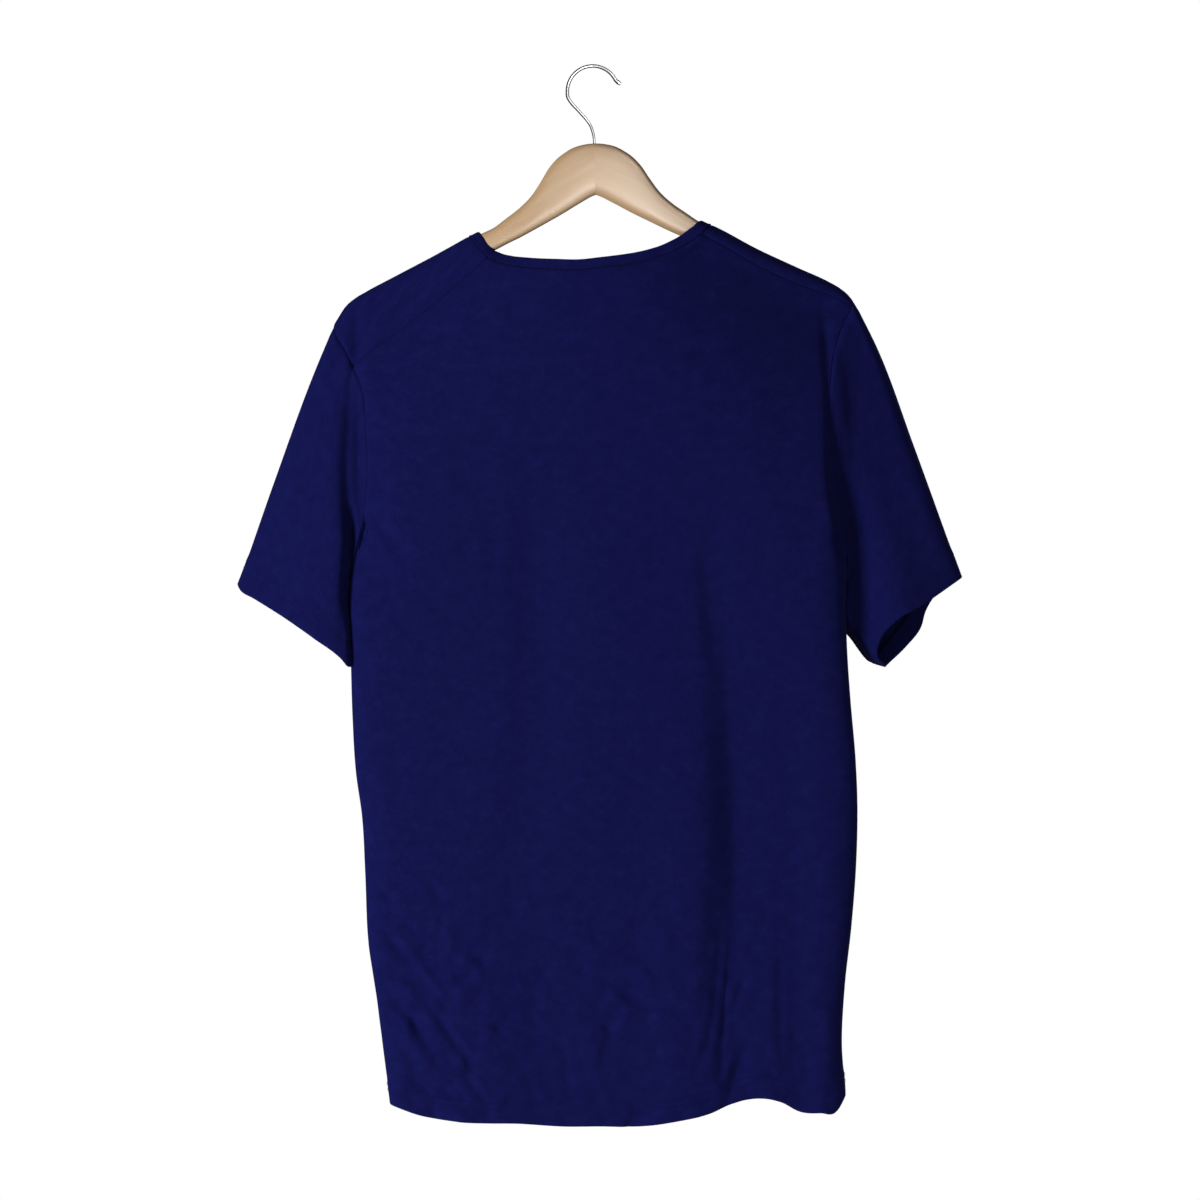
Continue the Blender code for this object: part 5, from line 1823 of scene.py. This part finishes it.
def reckon(tree: bpy.types.NodeTree, operation: str, *values: object) -> bpy.types.NodeSocket:
    """Adds a node that works out a number.

    Args:
        tree: The tree that gets it.
        operation: What is done with the values.
        *values: Values, or the sockets that give them.

    Returns:
        The number's socket.
    """
    inputs = {f"in_{place}": value for place, value in enumerate(values)}
    return add_node(tree, "ShaderNodeMath", {"operation": operation}, **inputs).outputs["Value"]


def new_material(name: str) -> tuple[bpy.types.Material, bpy.types.NodeTree, bpy.types.Node]:
    """A new material.

    Args:
        name: Its name.

    Returns:
        The material, its nodes and its Principled shader.
    """
    material = bpy.data.materials.new(name)
    material.use_nodes = True
    tree = material.node_tree
    return material, tree, tree.nodes["Principled BSDF"]


@dataclass(frozen=True)
class JerseyFinish:
    """Combed cotton single jersey, dyed in the fibre: matt, with a faint mixed tone.

    Its wales run down the cloth. Real ones lie about 0.8 mm apart, too fine for a whole shirt's
    picture, so they are drawn 1.5 mm apart.
    """

    dark: str = "0D1041"
    middle: str = "111348"
    light: str = "151750"
    wale: float = 1.5
    course: float = 1.3
    sheen: str = "6A74C8"
    fleck_long: float = 13.5
    fleck_wide: float = 11.5
    leg_slant: float = 1.3
    leg_height: float = 0.3
    wale_groove: float = 1.6

    def material(self) -> bpy.types.Material:
        """Makes the finish.

        Returns:
            Its material.
        """
        material, tree, shader = new_material("cotton_jersey")
        uv = add_node(tree, "ShaderNodeUVMap", {"uv_map": "knit"}).outputs["UV"]
        flecks = self.fleck_tone(tree, uv)
        height = self.knit_height(tree, uv)
        bump = add_node(tree, "ShaderNodeBump", Strength=0.2, Distance=0.25 * MM, Height=height)
        feed(tree, shader, Base_Color=flecks, Normal=bump.outputs["Normal"], Roughness=0.92,
             Specular_IOR_Level=0.06, Sheen_Weight=0.06, Sheen_Roughness=0.45,
             Sheen_Tint=linear(self.sheen))
        return material

    def fleck_tone(self, tree: bpy.types.NodeTree, uv: bpy.types.NodeSocket
                   ) -> bpy.types.NodeSocket:
        """Colour of the mixed fibres: a mottle of all sizes, drawn out along the courses.

        Args:
            tree: The material's nodes.
            uv: Girth and fall of the cloth in metres.

        Returns:
            The colour's socket.
        """
        stretch = add_node(tree, "ShaderNodeMapping", Vector=uv,
                           Scale=(1 / (self.fleck_long * MM), 1 / (self.fleck_wide * MM), 1))
        fleck = add_node(tree, "ShaderNodeTexNoise", {"noise_dimensions": "2D"},
                         Vector=stretch.outputs["Vector"], Scale=1.0, Detail=4.0, Roughness=0.8)
        ramp = add_node(tree, "ShaderNodeValToRGB", Fac=fleck.outputs["Fac"])
        ramp.color_ramp.elements[0].position = 0.2
        ramp.color_ramp.elements[0].color = linear(self.dark)
        ramp.color_ramp.elements[1].position = 0.8
        ramp.color_ramp.elements[1].color = linear(self.light)
        centre = ramp.color_ramp.elements.new(0.50)
        centre.color = linear(self.middle)
        return ramp.outputs["Color"]

    def knit_height(self, tree: bpy.types.NodeTree, uv: bpy.types.NodeSocket
                    ) -> bpy.types.NodeSocket:
        """Relief of the stitches: each wale a column of small V shapes.

        Args:
            tree: The material's nodes.
            uv: Girth and fall of the cloth in metres.

        Returns:
            The height's socket.
        """
        split = add_node(tree, "ShaderNodeSeparateXYZ", Vector=uv)
        wale = reckon(tree, "MULTIPLY", split.outputs["X"], 1 / (self.wale * MM))
        off = reckon(tree, "ABSOLUTE", reckon(tree, "SUBTRACT", reckon(tree, "FRACT", wale), 0.5))
        leg = reckon(tree, "MULTIPLY", split.outputs["Y"], 1 / (self.course * MM))
        slant = reckon(tree, "MULTIPLY_ADD", off, self.leg_slant, leg)
        wave = reckon(tree, "SINE", reckon(tree, "MULTIPLY", slant, 2 * math.pi))
        groove = reckon(tree, "MULTIPLY", off, -self.wale_groove)
        return reckon(tree, "MULTIPLY_ADD", wave, self.leg_height, groove)


@dataclass(frozen=True)
class ThreadFinish:
    """Spun polyester sewing thread, a little smoother than the cloth it is dyed to match."""

    colour: str = "10124A"
    twist: float = 0.5

    def material(self) -> bpy.types.Material:
        """Makes the finish.

        Returns:
            Its material.
        """
        material, tree, shader = new_material("polyester_thread")
        place = add_node(tree, "ShaderNodeTexCoord").outputs["Object"]
        twist = add_node(tree, "ShaderNodeTexNoise", Vector=place, Scale=1 / (self.twist * MM),
                         Detail=1.0)
        bump = add_node(tree, "ShaderNodeBump", Strength=0.3, Distance=0.05 * MM,
                        Height=twist.outputs["Fac"])
        feed(tree, shader, Base_Color=linear(self.colour), Normal=bump.outputs["Normal"],
             Roughness=0.6, Specular_IOR_Level=0.12)
        return material


@dataclass(frozen=True)
class LacqueredWoodFinish:
    """Steamed beech, sanded and sprayed with clear gloss lacquer: soft tan, faint grain.

    The grain follows each arm's slope; the two halves are cut from different boards, so their
    patterns differ at the glue joint.
    """

    name: str
    hand: int
    early: str = "C3A27B"
    late: str = "B9956D"
    fleck: str = "AD8A63"
    slope: float = 27.0
    ring: tuple[float, float] = (90.0, 7.0)
    pore: tuple[float, float] = (16.0, 1.1)
    board: tuple[float, float, float] = (0.11, 0.03, 0.05)

    def material(self) -> bpy.types.Material:
        """Makes the finish.

        Returns:
            Its material.
        """
        material, tree, shader = new_material(self.name)
        place = add_node(tree, "ShaderNodeTexCoord").outputs["Object"]
        x, y, z = self.board
        turned = add_node(tree, "ShaderNodeMapping", Vector=place,
                          Rotation=(0.0, -self.hand * math.radians(self.slope), 0.0),
                          Location=(x * self.hand, y, z))
        length, width = self.ring
        along = add_node(tree, "ShaderNodeMapping", Vector=turned.outputs["Vector"],
                         Scale=(1 / (length * MM), 1 / (width * MM), 1 / (width * MM)))
        rings = add_node(tree, "ShaderNodeTexNoise", Vector=along.outputs["Vector"], Scale=1.0,
                         Detail=3.0, Roughness=0.5, Distortion=0.35)
        length, width = self.pore
        fine = add_node(tree, "ShaderNodeMapping", Vector=turned.outputs["Vector"],
                        Scale=(1 / (length * MM), 1 / (width * MM), 1 / (width * MM)))
        pores = add_node(tree, "ShaderNodeTexNoise", Vector=fine.outputs["Vector"], Scale=1.0,
                         Detail=2.0, Roughness=0.6)
        tone = add_node(tree, "ShaderNodeValToRGB", Fac=rings.outputs["Fac"])
        tone.color_ramp.elements[0].position = 0.32
        tone.color_ramp.elements[0].color = linear(self.late)
        tone.color_ramp.elements[1].position = 0.66
        tone.color_ramp.elements[1].color = linear(self.early)
        mask = add_node(tree, "ShaderNodeMapRange", Value=pores.outputs["Fac"], From_Min=0.60,
                        From_Max=0.74, To_Min=0.0, To_Max=0.25)
        mix = add_node(tree, "ShaderNodeMix", {"data_type": "RGBA"},
                       in_0=mask.outputs["Result"], in_6=tone.outputs["Color"],
                       in_7=linear(self.fleck))
        bump = add_node(tree, "ShaderNodeBump", Strength=0.12, Distance=0.12 * MM,
                        Height=rings.outputs["Fac"])
        feed(tree, shader, Base_Color=mix.outputs[2], Normal=bump.outputs["Normal"],
             Roughness=0.42, Specular_IOR_Level=0.4, Coat_Weight=1.0, Coat_Roughness=0.34,
             Coat_IOR=1.9)
        return material


@dataclass(frozen=True)
class ChromeFinish:
    """Bright chrome plating on drawn steel wire: a mirror with faint rubbed spots."""

    colour: str = "E2E6EB"

    def material(self) -> bpy.types.Material:
        """Makes the finish.

        Returns:
            Its material.
        """
        material, tree, shader = new_material("chrome_plate")
        place = add_node(tree, "ShaderNodeTexCoord").outputs["Object"]
        rub = add_node(tree, "ShaderNodeTexNoise", Vector=place, Scale=1 / (3.0 * MM),
                       Detail=3.0)
        rough = add_node(tree, "ShaderNodeMapRange", Value=rub.outputs["Fac"], From_Min=0.35,
                         From_Max=0.75, To_Min=0.10, To_Max=0.16)
        feed(tree, shader, Base_Color=linear(self.colour), Metallic=1.0,
             Roughness=rough.outputs["Result"])
        return material


@dataclass(frozen=True)
class PaintedFloorFinish:
    """Smooth floor painted a matt near-white, so that it only carries soft light."""

    colour: str = "F4F4F4"

    def material(self) -> bpy.types.Material:
        """Makes the finish.

        Returns:
            Its material.
        """
        material, tree, shader = new_material("painted_floor")
        place = add_node(tree, "ShaderNodeTexCoord").outputs["Object"]
        grain = add_node(tree, "ShaderNodeTexNoise", Vector=place, Scale=40.0, Detail=2.0)
        bump = add_node(tree, "ShaderNodeBump", Strength=0.05, Distance=0.5 * MM,
                        Height=grain.outputs["Fac"])
        feed(tree, shader, Base_Color=linear(self.colour), Normal=bump.outputs["Normal"],
             Roughness=0.9, Specular_IOR_Level=0.1)
        return material


# ---------------------------------------------------------------- the studio

class Lamp(NamedTuple):
    """A soft box; a mirrored one lights nothing and shows only in glossy surfaces."""

    name: str
    place: tuple[float, float, float]
    size: float
    power: float
    mirrored: bool = False


@dataclass
class Studio:
    """Pale floor, soft light and the camera at the photo's angle."""

    floor_z: float = -1.32
    floor_radius: float = 1.35
    centre: tuple[float, float, float] = (-0.0070, -0.005, -0.4795)
    frame_width: float = 1.08
    distance: float = 5.0
    roll: float = -1.7
    sensor: float = 36.0
    lamps: tuple[Lamp, ...] = (
        Lamp("key", (-2.4, -2.05, -0.45), 1.0, 100.0),
        Lamp("fill", (2.0, -2.2, -0.3), 1.6, 6.5),
        Lamp("behind", (0.6, 2.2, 0.8), 1.6, 45.0),
        Lamp("gleam", (1.0, -1.7, 0.9), 0.45, 3.5, True),
        Lamp("arm_gleam", (0.43, -2.16, -0.12), 0.40, 4.2, True),
        Lamp("notch_gleam", (0.17, -2.15, -0.50), 0.40, 5.2, True),
    )
    sky: float = 0.16
    sky_heights: tuple[float, float] = (-0.6, 0.9)
    sky_shares: tuple[float, float] = (0.7, 1.05)
    dark_wall: tuple[float, float, float] = (-0.30, 0.954, 0.0)
    walls: tuple[tuple[float, float], ...] = ((0.11, 0.95), (0.18, 0.02), (0.97, 0.01))

    def build(self, floor_paint: bpy.types.Material) -> None:
        """Makes everything round the object.

        Args:
            floor_paint: Finish of the floor.
        """
        self.camera()
        form = bmesh.new()
        bmesh.ops.create_circle(form, cap_ends=True, segments=96, radius=self.floor_radius,
                                matrix=Matrix.Translation((0, 0, self.floor_z)))
        floor = finished("studio_floor", form)
        floor.data.materials.append(floor_paint)
        floor.visible_glossy = False
        for lamp in self.lamps:
            self.light(lamp)
        self.world()
        bpy.context.scene.view_settings.view_transform = "Standard"

    def camera(self) -> None:
        """Camera level with the middle of the frame, turned by the photo's lean."""
        data = bpy.data.cameras.new("camera")
        data.sensor_width = self.sensor
        data.lens = self.sensor * self.distance / self.frame_width
        data.clip_end = 50.0
        camera = bpy.data.objects.new("camera", data)
        x, y, z = self.centre
        turn = Matrix.Rotation(math.pi / 2, 4, "X") @ Matrix.Rotation(math.radians(self.roll),
                                                                      4, "Z")
        camera.matrix_world = Matrix.Translation((x, y - self.distance, z)) @ turn
        bpy.context.scene.collection.objects.link(camera)
        bpy.context.scene.camera = camera

    def light(self, lamp: Lamp) -> None:
        """A square soft box that faces the shirt.

        Args:
            lamp: Where it stands, its size and its power.
        """
        data = bpy.data.lights.new(lamp.name, "AREA")
        data.size = lamp.size
        data.energy = lamp.power
        light = bpy.data.objects.new(lamp.name, data)
        place = Vector(lamp.place)
        aim = Vector(self.centre) - place
        turn = aim.to_track_quat("-Z", "Y").to_matrix().to_4x4()
        light.matrix_world = Matrix.Translation(place) @ turn
        light.visible_camera = False
        light.visible_glossy = lamp.mirrored
        light.visible_diffuse = not lamp.mirrored
        bpy.context.scene.collection.objects.link(light)

    def world(self) -> None:
        """White backdrop that lights the scene softly, less from below.

        Glossy surfaces see it as a bright wall behind the camera and dark ones elsewhere.
        """
        world = bpy.data.worlds.new("studio")
        world.use_nodes = True
        tree = world.node_tree
        soft = tree.nodes["Background"]
        way = add_node(tree, "ShaderNodeTexCoord").outputs["Generated"]
        split = add_node(tree, "ShaderNodeSeparateXYZ", Vector=way)
        height = add_node(tree, "ShaderNodeMapRange", Value=split.outputs["Z"],
                          From_Min=self.sky_heights[0], From_Max=self.sky_heights[1],
                          To_Min=self.sky_shares[0], To_Max=self.sky_shares[1])
        power = reckon(tree, "MULTIPLY", height.outputs["Result"], self.sky)
        feed(tree, soft, Color=(1, 1, 1, 1), Strength=power)
        white = add_node(tree, "ShaderNodeBackground", Color=(1, 1, 1, 1), Strength=1.0)
        ray = add_node(tree, "ShaderNodeLightPath").outputs
        facing = add_node(tree, "ShaderNodeVectorMath", {"operation": "DOT_PRODUCT"}, in_0=way,
                          in_1=self.dark_wall)
        share = add_node(tree, "ShaderNodeMapRange", Value=facing.outputs["Value"],
                         From_Min=-1.0, From_Max=1.0)
        walls = add_node(tree, "ShaderNodeValToRGB", Fac=share.outputs["Result"])
        walls.color_ramp.elements[0].color = (1, 1, 1, 1)
        walls.color_ramp.elements[1].color = (0, 0, 0, 1)
        for place, shade in self.walls:
            stop = walls.color_ramp.elements.new(place)
            stop.color = (shade, shade, shade, 1)
        seen = add_node(tree, "ShaderNodeBackground", Color=walls.outputs["Color"], Strength=1.0)
        inside = add_node(tree, "ShaderNodeMixShader", in_0=ray["Is Glossy Ray"],
                          in_1=soft.outputs[0], in_2=seen.outputs[0])
        mix = add_node(tree, "ShaderNodeMixShader", in_0=ray["Is Camera Ray"],
                       in_1=inside.outputs[0], in_2=white.outputs[0])
        feed(tree, tree.nodes["World Output"], Surface=mix.outputs[0])
        bpy.context.scene.world = world


def main() -> None:
    """Builds the studio, the hanger and the shirt, and reports each piece."""
    logging.basicConfig(level=logging.INFO, format="%(name)s: %(message)s")
    form = ShirtForm()
    Studio().build(PaintedFloorFinish().material())
    wood = {name: LacqueredWoodFinish(f"lacquered_beech_{name}", hand).material()
            for name, hand in (("left", -1), ("right", 1))}
    hanger = Hanger(form, wood, ChromeFinish().material())
    shirt = Shirt(ShirtPattern(form), JerseyFinish().material(), ThreadFinish().material())
    for piece in hanger.build() + shirt.build():
        LOG.info("%s", piece.name)


if __name__ == "__main__":
    main()
